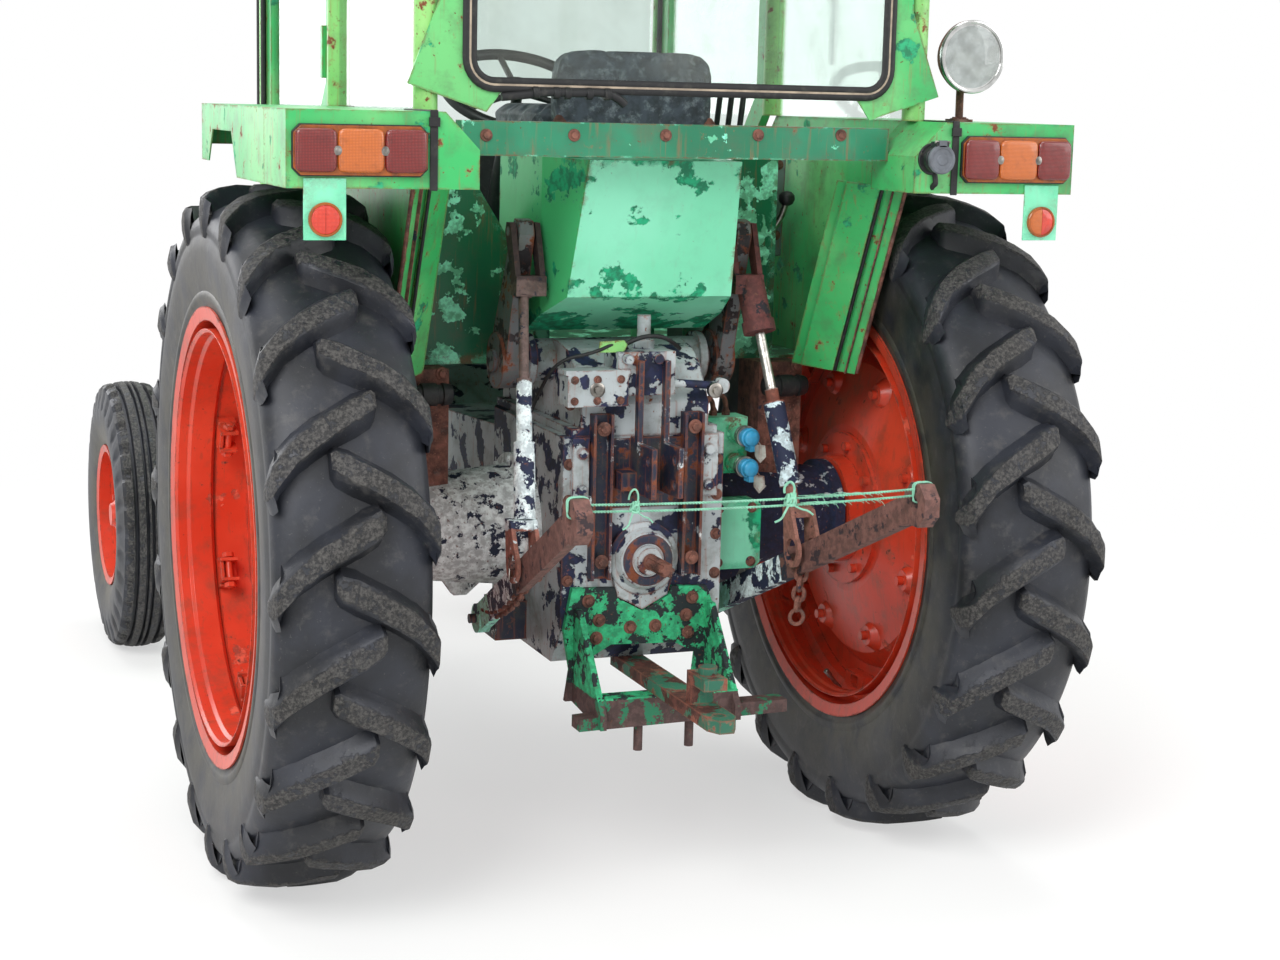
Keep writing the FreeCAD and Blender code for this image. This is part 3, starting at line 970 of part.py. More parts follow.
    dash = box("dash", ("-210", "210"), ("front_post_y - 100", "front_post_y + 16"), ("1300", "1600"))
    foot = ("0", "column_foot_y", "column_foot_z")
    head = ("0", "column_head_y", "column_head_z")
    tube = rod("column_tube", foot, ("0", "column_foot_y * 0.25 + column_head_y * 0.75",
                                     "column_foot_z * 0.25 + column_head_z * 0.75"), "27")
    bore = rod("column_bore", foot, head, "column_radius + running_gap")
    post = box("column_foot", ("-40", "40"), ("column_foot_y - 20", "column_foot_y + 90"),
               ("floor_top", "1300"))
    node(cut("column", fuse("column_solid", tube, post, dash), bore), "dashboard")
    stem = rod("wheel_stem", ("0", "column_foot_y * 0.8 + column_head_y * 0.2",
                              "column_foot_z * 0.8 + column_head_z * 0.2"), head, "column_radius")
    ring = document.addObject("Part::Torus", "wheel_rim")
    aim(ring, foot, head)
    place_end(ring, head)
    bind(ring, Radius1="wheel_ring - wheel_ring_wire", Radius2="wheel_ring_wire")
    hub = document.addObject("Part::Cylinder", "wheel_hub")
    aim(hub, foot, head)
    place_end(hub, head)
    bind(hub, Radius="34", Height="24")
    wheel = fuse("wheel_head", stem, hub)
    for turn in (90, 210, 330):
        wheel = fuse(f"wheel_with_spoke_{turn}", wheel, wheel_spoke(turn, head))
    node(fuse("steering_wheel", wheel, ring), "steering_wheel")

    console = box("lever_console", ("300", "430"), ("40", "330"), ("floor_top", "1520"))
    levers = [rod(f"lever_{count}", ("365", along, "1515"), ("365", f"{along} - 60", "1760"), "7")
              for count, along in enumerate(("110", "180", "250"))]
    node(fuse("control_levers", console, *levers), "control_levers")

    pieces = []
    for edge, along in (("rear", "860"), ("front", "1030")):
        pieces.append(box(f"step_strap_{edge}", ("-545", "-395"), (along, f"{along} + 8"),
                          ("430", "floor_top - floor_sheet")))
    for count, height in enumerate(("430", "760")):
        pieces.append(box(f"step_tread_{count}", ("-545", "-395"), ("860", "1038"),
                          (height, f"{height} + 8")))
    twins("steps", fuse("step", *pieces))
    mount = box("cab_mount", ("-490", "-380"), ("-60", "60"), ("rear_radius + 90", "floor_top - floor_sheet"))
    cone = document.addObject("Part::Cone", "cab_mount_cone")
    bind(cone, Radius1="trumpet_tip_radius", Radius2="trumpet_radius",
         Height="trumpet_end - housing_half - 60")
    place(cone, "30 - trumpet_end", "0", "rear_radius", turn=TURN["x"])
    twins("cab_mounts", cut("cab_mount_body", mount, cone))


def place_end(item, head):
    """Moves an aimed object to the head of the steering column."""
    return bind(item, Placement__Base__x=head[0], Placement__Base__y=f"{AXLE} + ({head[1]})",
                Placement__Base__z=head[2])


def wheel_spoke(turn, head):
    """One spoke of the steering wheel, in the wheel's own sloping plane."""
    slope = "atan2(column_foot_y - column_head_y; column_head_z - column_foot_z)"
    across = f"(wheel_ring - wheel_ring_wire) * {math.cos(math.radians(turn)):.6f}"
    along = f"(wheel_ring - wheel_ring_wire) * {math.sin(math.radians(turn)):.6f}"
    tip = (across, f"column_head_y + ({along}) * cos({slope})", f"column_head_z + ({along}) * sin({slope})")
    return rod(f"spoke_{turn}", head, tip, "8")


def front_end():
    """Hood, grille panel and headlamps."""
    shape = both_sides((("hood_half", "hood_low"), ("hood_half", "hood_top - 70"),
                        ("hood_half - 60", "hood_top")))
    inner = both_sides((("hood_half - hood_wall", "hood_low - 5"), ("hood_half - hood_wall", "hood_top - 71"),
                        ("hood_half - 61", "hood_top - hood_wall")))
    side = plate("hood_side", "yz", (
        ("hood_rear", "hood_low - 10"), ("hood_rear", "hood_top"), ("hood_front", "nose_top"),
        ("hood_front", "hood_low - 10")), ("-300", "300"))
    low_side = plate("hood_side_inner", "yz", (
        ("hood_rear - 10", "hood_low - 10"), ("hood_rear - 10", "hood_top - hood_wall"),
        ("hood_front + 5", "nose_top - hood_wall"), ("hood_front + 5", "hood_low - 10")), ("-310", "310"))
    outer = shared("hood_outer", plate("hood_section", "xz", shape, ("hood_rear", "hood_front")), side)
    core = shared("hood_core", plate("hood_section_inner", "xz", inner, ("hood_rear - 10", "hood_front + 5")),
                  low_side)
    ears = []
    lugs = []
    for side, sign in (("left", "-1"), ("right", "1")):
        ears.append(box(f"hood_ear_{side}", sorted_span(sign, "170", "182"),
                        ("hood_rear - 12", "hood_rear + 40"),
                        ("hood_top - 40", "hood_top - 2")))
        lugs.append(box(f"hood_lug_{side}", sorted_span(sign, "150", "164.5"),
                        ("front_post_y + 25", "hood_rear + 12"),
                        ("hood_top - 36", "hood_top - 12")))
        lugs.append(drum(f"hood_pin_{side}", "x", ("hood_rear", "hood_top - 24"),
                         sorted_span(sign, "150", "186"),
                         "hood_pin_radius"))
    bore = drum("hood_hinge_bore", "x", ("hood_rear", "hood_top - 24"), ("-200", "200"),
                "hood_pin_radius + running_gap")
    node(cut("hood_shell", fuse("hood_solid", cut("hood_skin", outer, core), *ears), bore), "hood")
    node(together("hood_hinge_pair", fuse("hood_hinge_left", *lugs[:2]), fuse("hood_hinge_right", *lugs[2:])),
         "hood_hinges")

    grille = plate("nose_block", "xz", both_sides((
        ("hood_half", "840 + running_gap"), ("hood_half", "nose_top - 70"), ("hood_half - 60", "nose_top"))),
        ("hood_front + running_gap", "front_reach - 12"),
        cuts=([("-170", "870"), ("170", "870"), ("170", "1140"), ("-170", "1140")],))
    bars = [box(f"grille_bar_{count}", (f"{count} * 34 - 4", f"{count} * 34 + 4"),
                ("front_reach - 50", "front_reach - 20"), ("865", "1145")) for count in range(-4, 5)]
    bars.append(box("grille_crossbar", ("-175", "175"), ("front_reach - 40", "front_reach - 30"),
                    ("1000", "1010")))
    lamp_seats = []
    for side, sign in (("left", "-1"), ("right", "1")):
        spot = (f"{sign} * 150", "1260")
        bars.append(drum(f"lamp_bezel_{side}", "y", spot, ("front_reach - 14", "front_reach - 4"),
                         "lamp_radius + 12"))
        lamp_seats.append(drum(f"lamp_seat_{side}", "y", spot, ("front_reach - 12", "front_reach + 2"),
                               "lamp_radius + running_gap"))
    node(cut("nose", fuse("nose_with_grille", grille, *bars), *lamp_seats), "grille_panel")
    lamp = turned("headlamp", "y", (
        ("front_reach - 12", "0"), ("front_reach - 12", "lamp_radius"), ("front_reach - 6", "lamp_radius"),
        ("front_reach - 2", "lamp_radius - 20"), ("front_reach", "20"), ("front_reach", "0")),
                  ("-150", "0", "1260"))
    twins("headlamps", lamp)


rear_wheels()
front_wheels()
driveline()
front_axle()
hitch()
fenders()
cab()
front_end()
document.recompute()

for item in document.Objects:
    if "Invalid" in item.State or "Error" in item.State:
        raise SystemExit(f"{item.Label} failed: {item.State}")
os.makedirs("parts", exist_ok=True)
for item in nodes:
    if item.Shape.isNull() or not item.Shape.isValid() or not item.Shape.Solids:
        raise SystemExit(f"{item.Label} has no valid shape")
for item in nodes:
    item.Shape.exportStep(f"parts/{item.Label}.step")
    print(item.Label, len(item.Shape.Solids), round(item.Shape.Volume / 1e6, 3))
whole = FreeCAD.BoundBox()
for item in nodes:
    whole.add(item.Shape.BoundBox)
print(len(nodes), "nodes", whole)
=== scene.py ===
"""Old farm tractor with a cab: finishes, fine pieces, light and camera around the CAD frame.

Shapes are built in millimetres from the ground under the rear axle: +X to the tractor's right,
+Y ahead, +Z up. They are turned to the row's metres when a piece is closed.
"""
import logging
import math
from dataclasses import dataclass, field
from enum import Enum

import bmesh
import bpy
from mathutils import Matrix, Vector, noise


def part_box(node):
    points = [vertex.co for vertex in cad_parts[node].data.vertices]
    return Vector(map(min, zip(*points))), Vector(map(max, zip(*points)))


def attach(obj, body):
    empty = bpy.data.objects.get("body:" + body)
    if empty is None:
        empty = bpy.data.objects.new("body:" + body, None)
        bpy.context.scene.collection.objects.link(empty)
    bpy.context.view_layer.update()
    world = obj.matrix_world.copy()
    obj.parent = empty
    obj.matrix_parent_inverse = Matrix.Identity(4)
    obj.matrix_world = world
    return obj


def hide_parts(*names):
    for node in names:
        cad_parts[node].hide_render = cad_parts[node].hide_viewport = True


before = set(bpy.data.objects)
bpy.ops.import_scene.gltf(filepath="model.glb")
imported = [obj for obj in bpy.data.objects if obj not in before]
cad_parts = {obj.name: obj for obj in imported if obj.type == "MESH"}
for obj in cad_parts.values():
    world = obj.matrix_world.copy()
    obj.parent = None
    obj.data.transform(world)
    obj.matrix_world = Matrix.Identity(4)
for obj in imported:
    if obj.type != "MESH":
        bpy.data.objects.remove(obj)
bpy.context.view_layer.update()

log = logging.getLogger("tractor")
MM = 0.001
REAR_REACH, FRONT_REACH = 0.944, 2.700  # metres from the rear axle to the part's ends
REAR_AXLE_Y = (REAR_REACH - FRONT_REACH) / 2
AXLE_Z, TRACK_HALF = 775, 752
SHAFT_Z = 745
BEHIND, UP = (0, -1, 0), (0, 0, 1)
TO_ROW = Matrix.Translation((0, REAR_AXLE_Y, 0)) @ Matrix.Scale(MM, 4)


class Side(Enum):
    """One side of the tractor, as the sign of its X."""

    LEFT = -1
    RIGHT = 1

    @property
    def word(self) -> str:
        """The side's word in node and body names."""
        return self.name.lower()


def linear(code: str) -> tuple[float, float, float, float]:
    """Turns an sRGB hex colour into the linear colour that a socket takes.

    Args:
        code: Six hex digits, red first.

    Returns:
        Linear red, green and blue, with an alpha of one.
    """
    parts = [int(code[k:k + 2], 16) / 255 for k in (0, 2, 4)]
    red, green, blue = (p / 12.92 if p <= 0.04045 else ((p + 0.055) / 1.055) ** 2.4 for p in parts)
    return red, green, blue, 1.0


def shade(code: str, factor: float) -> str:
    """A lighter or darker shade of a hex colour.

    Args:
        code: The sRGB hex colour.
        factor: What each channel is multiplied by.

    Returns:
        The shade as six hex digits.
    """
    return "".join(f"{min(255, round(int(code[k:k + 2], 16) * factor)):02x}" for k in (0, 2, 4))


def shown(name: str, data: bpy.types.ID) -> bpy.types.Object:
    """Makes an object of its data and links it into the scene."""
    item = bpy.data.objects.new(name, data)
    bpy.context.scene.collection.objects.link(item)
    return item


def circle(count: int, ends: bool = False) -> list[tuple[float, float]]:
    """Spreads points evenly round the unit circle.

    Args:
        count: How many steps it is cut into.
        ends: Whether the first point comes again at the end.

    Returns:
        The cosine and sine of each point.
    """
    return [(math.cos(math.tau * k / count), math.sin(math.tau * k / count)) for k in range(count + ends)]


def bulged(count: int, power: float) -> list[tuple[float, float]]:
    """A unit circle pressed towards a square; the lower the power, the squarer."""
    return [tuple(math.copysign(abs(p) ** power, p) for p in pair) for pair in circle(count)]


def add_node(tree: bpy.types.NodeTree, kind: str, inputs: dict | None = None, **settings) -> bpy.types.Node:
    """Adds one shader node with its settings and links.

    Args:
        tree: The material's or world's node tree.
        kind: The node's type without the word ShaderNode.
        inputs: Socket name or number to a value, or to the output socket linked into it.
        **settings: Properties set on the node itself.

    Returns:
        The new node.
    """
    item = tree.nodes.new(f"ShaderNode{kind}")
    for name, value in settings.items():
        setattr(item, name, value)
    for name, value in (inputs or {}).items():
        socket = item.inputs[name]
        if isinstance(value, bpy.types.NodeSocket):
            tree.links.new(value, socket)
        else:
            socket.default_value = value
    return item


@dataclass
class Shader:
    """A material under construction, with the few patterns that the finishes share."""

    name: str
    tree: bpy.types.NodeTree = field(init=False)
    material: bpy.types.Material = field(init=False)

    def __post_init__(self) -> None:
        """Starts the material with an empty node tree."""
        self.material = bpy.data.materials.new(self.name)
        self.material.use_nodes = True
        self.tree = self.material.node_tree
        self.tree.nodes.clear()

    def noise(self, size_mm: float, detail: float = 4.0, rough: float = 0.55,
              stretch: tuple[float, float, float] = (1.0, 1.0, 1.0), shift: float = 0.0) -> bpy.types.NodeSocket:
        """A noise pattern fixed to the piece.

        Args:
            size_mm: The size of its blotches in millimetres.
            detail: How many finer layers it has.
            rough: How strong the finer layers are.
            stretch: Factors by which the blotches are longer along X, Y and Z.
            shift: An offset that gives another pattern of the same kind.

        Returns:
            The factor socket, about 0.3 to 0.7.
        """
        spot = add_node(self.tree, "TexCoord").outputs["Object"]
        scale = tuple(1.0 / s for s in stretch)
        spot = add_node(self.tree, "Mapping", {"Vector": spot, "Scale": scale,
                                               "Location": (shift, shift * 0.7, -shift)}).outputs[0]
        return add_node(self.tree, "TexNoise", {"Vector": spot, "Scale": 1000 / size_mm, "Detail": detail,
                                                "Roughness": rough}).outputs["Fac"]

    def ramp(self, value: bpy.types.NodeSocket, low: float, high: float) -> bpy.types.NodeSocket:
        """A smooth step of a value, nought at low and one at high."""
        return add_node(self.tree, "MapRange", {"Value": value, "From Min": low, "From Max": high},
                        interpolation_type="SMOOTHSTEP").outputs["Result"]

    def between(self, value: bpy.types.NodeSocket, low: float, high: float) -> bpy.types.NodeSocket:
        """A value of nought to one spread from low to high."""
        return add_node(self.tree, "MapRange", {"Value": value, "To Min": low, "To Max": high}).outputs["Result"]

    def math(self, how: str, first: object, second: object = 0.0) -> bpy.types.NodeSocket:
        """One sum of two values, clamped to nought and one."""
        return add_node(self.tree, "Math", {0: first, 1: second}, operation=how, use_clamp=True).outputs[0]

    def times(self, first: object, second: object) -> bpy.types.NodeSocket:
        """The product of two values."""
        return self.math("MULTIPLY", first, second)

    def patches(self, low: float, high: float, size_mm: float, *noise: float, **more: object) -> bpy.types.NodeSocket:
        """A noise pattern cut to patches: nought at low and one at high, see noise for the rest."""
        return self.ramp(self.noise(size_mm, *noise, **more), low, high)

    def mix(self, factor: object, first: object, second: object) -> bpy.types.NodeSocket:
        """A mix of two colours."""
        item = add_node(self.tree, "Mix", {0: factor}, data_type="RGBA")
        for spot, value in ((6, first), (7, second)):
            if isinstance(value, bpy.types.NodeSocket):
                self.tree.links.new(value, item.inputs[spot])
            else:
                item.inputs[spot].default_value = linear(value)
        return item.outputs[2]

    def edges(self, radius_mm: float, low: float = 0.80, high: float = 0.99) -> bpy.types.NodeSocket:
        """A mask that is one along sharp edges, where paint wears first."""
        soft = add_node(self.tree, "Bevel", {"Radius": radius_mm * MM}, samples=4).outputs["Normal"]
        true = add_node(self.tree, "NewGeometry").outputs["Normal"]
        alike = add_node(self.tree, "VectorMath", {0: soft, 1: true}, operation="DOT_PRODUCT").outputs["Value"]
        return self.ramp(alike, high, low)

    def painted(self, name: str) -> bpy.types.NodeSocket:
        """A share that the mesh carries point by point, such as how worn a lug's top is."""
        return add_node(self.tree, "Attribute", attribute_name=name).outputs["Fac"]

    def bump(self, height: bpy.types.NodeSocket, deep_mm: float,
             under: bpy.types.NodeSocket | None = None) -> bpy.types.NodeSocket:
        """A bump of a height pattern.

        Args:
            height: The pattern.
            deep_mm: How far its whole range stands up, in millimetres.
            under: The normal of a bump below it.

        Returns:
            The normal socket.
        """
        inputs = {"Height": height, "Distance": deep_mm * MM}
        if under is not None:
            inputs["Normal"] = under
        return add_node(self.tree, "Bump", inputs).outputs["Normal"]

    def finish(self, **inputs: object) -> bpy.types.Material:
        """Closes the material with a principled surface; underscores stand for blanks."""
        named = {name.replace("_", " "): value for name, value in inputs.items()}
        surface = add_node(self.tree, "BsdfPrincipled", named)
        add_node(self.tree, "OutputMaterial", {"Surface": surface.outputs["BSDF"]})
        return self.material


@dataclass(frozen=True)
class Enamel:
    """Brushed or sprayed enamel that flakes off in ragged patches down to an older coat and rusts there.

    The eye gets three scales: slow fading over a whole panel, patches of lost paint as large as a
    hand, and rust specks of a few millimetres.
    """

    name: str
    slot: str
    coat: str
    faded: str
    older: str
    rust: str = "6a3a26"
    level: float = 0.63
    flake_mm: float = 120.0
    rusting: float = 0.655
    specks: float = 0.66
    edge_wear: float = 0.10
    rough: float = 0.38
    grime_and_shade: str = "5b5a48"
    grime_and_shade_share: float = 0.5
    streaks: float = 0.38
    wear_mm: float = 9.0
    flank: str | None = None
    scuffs: tuple = ()

    def material(self) -> bpy.types.Material:
        """Builds the material."""
        shader = Shader(self.name)
        tone = shader.mix(shader.patches(0.38, 0.62, 380, 4), self.coat, self.faded)
        if self.flank:
            true = add_node(shader.tree, "NewGeometry").outputs["True Normal"]
            across = add_node(shader.tree, "SeparateXYZ", {0: true}).outputs["X"]
            across = add_node(shader.tree, "Math", {0: across}, operation="ABSOLUTE").outputs[0]
            tone = shader.mix(shader.ramp(across, 0.45, 0.6), tone, self.flank)
        # Blotches of grime; where their share is raised, as on the castings, they are partly painted shade.
        grime_and_shade = shader.times(shader.patches(0.45, 0.75, 70, 7, 0.65, shift=5.0),
                            self.grime_and_shade_share)
        streak = shader.patches(0.56, 0.70, 11, 4, 0.6, stretch=(1, 1, 16), shift=2.0)
        colour = shader.mix(grime_and_shade, tone, self.grime_and_shade)
        colour = shader.mix(shader.times(streak, self.streaks), colour, shade(self.rust, 1.5))
        worn = shader.edges(self.wear_mm, 0.70, 0.995)
        field_of = shader.math("ADD", shader.noise(self.flake_mm, 10, 0.6),
                               shader.times(worn, self.edge_wear))
        for axis, middle, reach, strong in self.scuffs:
            middle = middle + REAR_AXLE_Y / MM * (axis == "Y")
            place = add_node(shader.tree, "TexCoord").outputs["Object"]
            place = add_node(shader.tree, "SeparateXYZ", {0: place}).outputs[axis]
            away = add_node(shader.tree, "Math", {0: place, 1: middle * MM}, operation="SUBTRACT").outputs[0]
            away = add_node(shader.tree, "Math", {0: away}, operation="ABSOLUTE").outputs[0]
            near = shader.times(shader.ramp(away, reach * MM, 0), strong)
            field_of = shader.math("ADD", field_of, near)
        flake = shader.ramp(field_of, self.level - 0.004, self.level + 0.004)
        # A darker copy of the coat round each flake's edge: partly painted shade at the paint's step, partly dirt.
        flake_rim_shade_and_dirt = shader.ramp(field_of, self.level - 0.016, self.level - 0.002)
        colour = shader.mix(shader.times(flake_rim_shade_and_dirt, 0.35), colour, shade(self.coat, 0.72))
        older = shader.mix(shader.patches(0.42, 0.6, 26, 6, 0.65, shift=11.0), self.older,
                           shade(self.older, 1.45))
        colour = shader.mix(flake, colour, older)
        spots = shader.noise(46, 9, 0.68, shift=7.0)
        rusty = shader.math("ADD", spots, shader.times(worn, 0.17))
        halo = shader.ramp(rusty, self.rusting - 0.05, self.rusting)
        colour = shader.mix(shader.times(halo, 0.4), colour, shade(self.rust, 1.5))
        tone = shader.mix(shader.noise(5, 4, 0.7), shade(self.rust, 0.7), shade(self.rust, 1.5))
        rusty = shader.ramp(rusty, self.rusting, self.rusting + 0.02)
        speck = shader.patches(self.specks, self.specks + 0.015, 11, 5, 0.7, shift=13.0)
        rusty = shader.math("MAXIMUM", rusty, speck)
        colour = shader.mix(rusty, colour, tone)
        rough = shader.between(shader.math("MAXIMUM", rusty, shader.times(flake, 0.6)), self.rough, 0.85)
        wavy = shader.bump(shader.noise(60, 3), 0.9)
        step = shader.bump(shader.math("SUBTRACT", 1.0, flake), 0.35, wavy)
        grit = shader.times(rusty, shader.noise(4, 4, 0.7))
        return shader.finish(Base_Color=colour, Roughness=rough, Normal=shader.bump(grit, 0.8, step))


@dataclass(frozen=True)
class Rubber:
    """Moulded natural rubber, matt and greying, with scuffed lug tops and dry soil in its hollows."""

    name: str
    slot: str
    colour: str = "1a1c21"
    grey: str = "2b2e37"
    scuffed: str = "686561"
    soil: str = "5c5746"

    def material(self) -> bpy.types.Material:
        """Builds the material; meshes paint the shares called worn and soiled."""
        shader = Shader(self.name)
        tone = shader.mix(shader.patches(0.36, 0.66, 160, 6), self.colour, self.grey)
        spots = shader.patches(0.66, 0.70, 8, 3, 0.6, shift=3.0)
        colour = shader.mix(shader.times(spots, 0.3), tone, self.scuffed)
        ragged = shader.ramp(shader.math("ADD", shader.noise(22, 9, 0.7, shift=4.0),
                                         shader.times(shader.painted("worn"), 0.2)), 0.60, 0.69)
        worn = shader.times(ragged, shader.painted("worn"))
        top = shader.mix(shader.patches(0.4, 0.62, 7, 5, 0.7, shift=8.0), shade(self.scuffed, 0.5),
                         self.scuffed)
        colour = shader.mix(shader.times(worn, 0.62), colour, top)
        soiled = shader.times(shader.painted("soiled"), shader.patches(0.3, 0.6, 90, 6, 0.6))
        colour = shader.mix(shader.times(soiled, 0.6), colour, self.soil)
        dusty = shader.times(shader.patches(0.52, 0.72, 45, 7, 0.68, shift=6.0), 0.28)
        colour = shader.mix(dusty, colour, self.scuffed)
        grain = shader.bump(shader.noise(2.2, 4, 0.7), 0.2)
        pits = shader.bump(shader.times(worn, shader.noise(9, 5, 0.7, shift=1.0)), 2.5, grain)
        return shader.finish(Base_Color=colour, Roughness=shader.between(worn, 0.5, 0.85),
                             Normal=shader.bump(shader.noise(40, 5, 0.6), 1.2, pits))


@dataclass(frozen=True)
class RustySteel:
    """Hot-rolled or forged steel whose paint is nearly gone: brown scale with scraps of dark paint."""

    name: str
    slot: str
    dark: str = "4a3029"
    light: str = "8a5a4c"
    scrap: str = "1c2236"
    scrap_level: float = 0.64
    bare_share: float = 0.2

    def material(self) -> bpy.types.Material:
        """Builds the material."""
        shader = Shader(self.name)
        colour = shader.mix(shader.patches(0.36, 0.66, 30, 8, 0.68), self.dark, self.light)
        colour = shader.mix(shader.patches(0.6, 0.72, 4, 3, 0.6, shift=2.0), colour, shade(self.light, 1.25))
        scrap = shader.patches(self.scrap_level, self.scrap_level + 0.01, 70, 9, 0.65, shift=9.0)
        colour = shader.mix(scrap, colour, self.scrap)
        shine = shader.times(shader.patches(0.60, 0.68, 42, 6, 0.6, shift=6.0),
                            self.bare_share)
        colour = shader.mix(shine, colour, "8b8680")
        return shader.finish(Base_Color=colour, Roughness=shader.between(shine, 0.8, 0.4),
                             Metallic=shader.times(shine, 0.9),
                             Normal=shader.bump(shader.noise(6, 7, 0.7), 0.9))


@dataclass(frozen=True)
class Banded:
    """A forged bar that was painted in stretches, each flaked to another colour below it.

    A band holds where it ends as a share of the bar's length, its coat, what shows where that has
    flaked, how much of it is left, and how metallic it is. The eye gets the joints between the parts.
    """

    name: str
    slot: str
    start: tuple
    end: tuple
    bands: tuple

    def material(self) -> bpy.types.Material:
        """Builds the material."""
        shader = Shader(self.name)
        start, end = (TO_ROW @ Vector(p) for p in (self.start, self.end))
        run = end - start
        spot = add_node(shader.tree, "TexCoord").outputs["Object"]
        spot = add_node(shader.tree, "VectorMath", {0: spot, 1: tuple(start)}, operation="SUBTRACT").outputs["Vector"]
        spot = add_node(shader.tree, "VectorMath", {0: spot, 1: tuple(run / run.length_squared)},
                        operation="DOT_PRODUCT").outputs["Value"]
        share = shader.math("ADD", spot, shader.between(shader.noise(14, 5, 0.65), -0.012, 0.012))
        colour, metal, limit = None, None, 0.0
        for count, (until, coat, below, level, shine) in enumerate(self.bands):
            flake = shader.patches(level, level + 0.012, 38, 9, 0.66, shift=3.0 + count)
            tone = shader.mix(shader.patches(0.4, 0.62, 18, 6, 0.68, shift=9.0), coat, shade(coat, 1.3))
            tone = shader.mix(flake, tone, below)
            if colour is None:
                colour, metal = tone, shader.between(flake, shine, 0.0)
            else:
                step = shader.ramp(share, limit - 0.003, limit + 0.003)
                colour = shader.mix(step, colour, tone)
                metal = shader.math("ADD", shader.times(metal, shader.math("SUBTRACT", 1.0, step)),
                                    shader.times(step, shine))
            limit = until
        speck = shader.patches(0.6, 0.66, 10, 6, 0.7, shift=21.0)
        colour = shader.mix(shader.times(speck, 0.8), colour, "6e4436")
        metal = shader.times(metal, shader.math("SUBTRACT", 1.0, speck))
        return shader.finish(Base_Color=colour, Roughness=shader.between(metal, 0.75, 0.25), Metallic=metal,
                             Normal=shader.bump(shader.noise(7, 7, 0.7), 0.8))


@dataclass(frozen=True)
class Plain:
    """A surface of one material with a fine moulded, cast or drawn grain and some dust."""

    name: str
    slot: str
    colour: str
    rough: float = 0.5
    metal: float = 0.0
    grain_mm: float = 3.0
    deep_mm: float = 0.12
    varied: float = 0.8
    dust: str = "77746a"
    dust_share: float = 0.15

    def material(self) -> bpy.types.Material:
        """Builds the material."""
        shader = Shader(self.name)
        colour = shader.mix(shader.patches(0.35, 0.66, 30, 5), self.colour,
                            shade(self.colour, self.varied))
        dusty = shader.times(shader.patches(0.5, 0.7, 24, 7, 0.7, shift=5.0), self.dust_share)
        colour = shader.mix(dusty, colour, self.dust)
        return shader.finish(Base_Color=colour, Roughness=shader.between(dusty, self.rough, 0.9),
                             Metallic=self.metal,
                             Normal=shader.bump(shader.noise(self.grain_mm, 4, 0.65), self.deep_mm))


@dataclass(frozen=True)
class Lens:
    """Injection-moulded acrylic lens: clear tinted plastic over a reflector, with prism ribs inside.

    The ribs are drawn every few millimetres as bump, and the same pattern is painted into the colour: small bright
    spots as painted highlights, with the deep colour between them as painted shade.
    """

    name: str
    slot: str
    colour: str
    # The colour between the ribs' painted highlights: painted shade.
    deep: str
    rib_mm: float = 4.5

    def material(self) -> bpy.types.Material:
        """Builds the material."""
        shader = Shader(self.name)
        spot = add_node(shader.tree, "TexCoord").outputs["Object"]
        heights = [add_node(shader.tree, "TexWave", {"Vector": spot, "Scale": 500 / self.rib_mm},
                            bands_direction=way).outputs["Fac"] for way in ("X", "Z")]
        rib_pattern_and_highlights = shader.times(*heights)
        # Painted highlights on the ribs, with painted shade between them.
        colour = shader.mix(shader.ramp(rib_pattern_and_highlights, 0.05, 0.75), self.deep, self.colour)
        dirt = shader.times(shader.patches(0.5, 0.7, 30, 6, 0.65), 0.35)
        colour = shader.mix(dirt, colour, shade(self.deep, 0.6))
        return shader.finish(Base_Color=colour, Roughness=0.16, Coat_Weight=0.6, Coat_Roughness=0.08,
                             Normal=shader.bump(rib_pattern_and_highlights, 0.35))


@dataclass(frozen=True)
class Glass:
    """Float glass in a cab window, clear with a film of dust."""

    name: str
    slot: str
    tint: str = "f2f7f5"
    dust: float = 0.06

    def material(self) -> bpy.types.Material:
        """Builds the material."""
        shader = Shader(self.name)
        tree = shader.tree
        clear = add_node(tree, "BsdfTransparent", {"Color": linear(self.tint)}).outputs[0]
        shine = add_node(tree, "BsdfGlossy", {"Color": linear("ffffff"), "Roughness": 0.03}).outputs[0]
        grazing = add_node(tree, "LayerWeight", {"Blend": 0.5}).outputs["Facing"]
        edge = shader.between(shader.math("POWER", grazing, 4.0), 0.03, 0.5)
        pane = add_node(tree, "MixShader", {0: edge, 1: clear, 2: shine}).outputs[0]
        film = add_node(tree, "BsdfDiffuse", {"Color": linear("c9c8bd")}).outputs[0]
        share = shader.times(shader.patches(0.4, 0.75, 160, 6, 0.6), self.dust)
        whole = add_node(tree, "MixShader", {0: share, 1: pane, 2: film}).outputs[0]
        add_node(tree, "OutputMaterial", {"Surface": whole})
        return shader.material


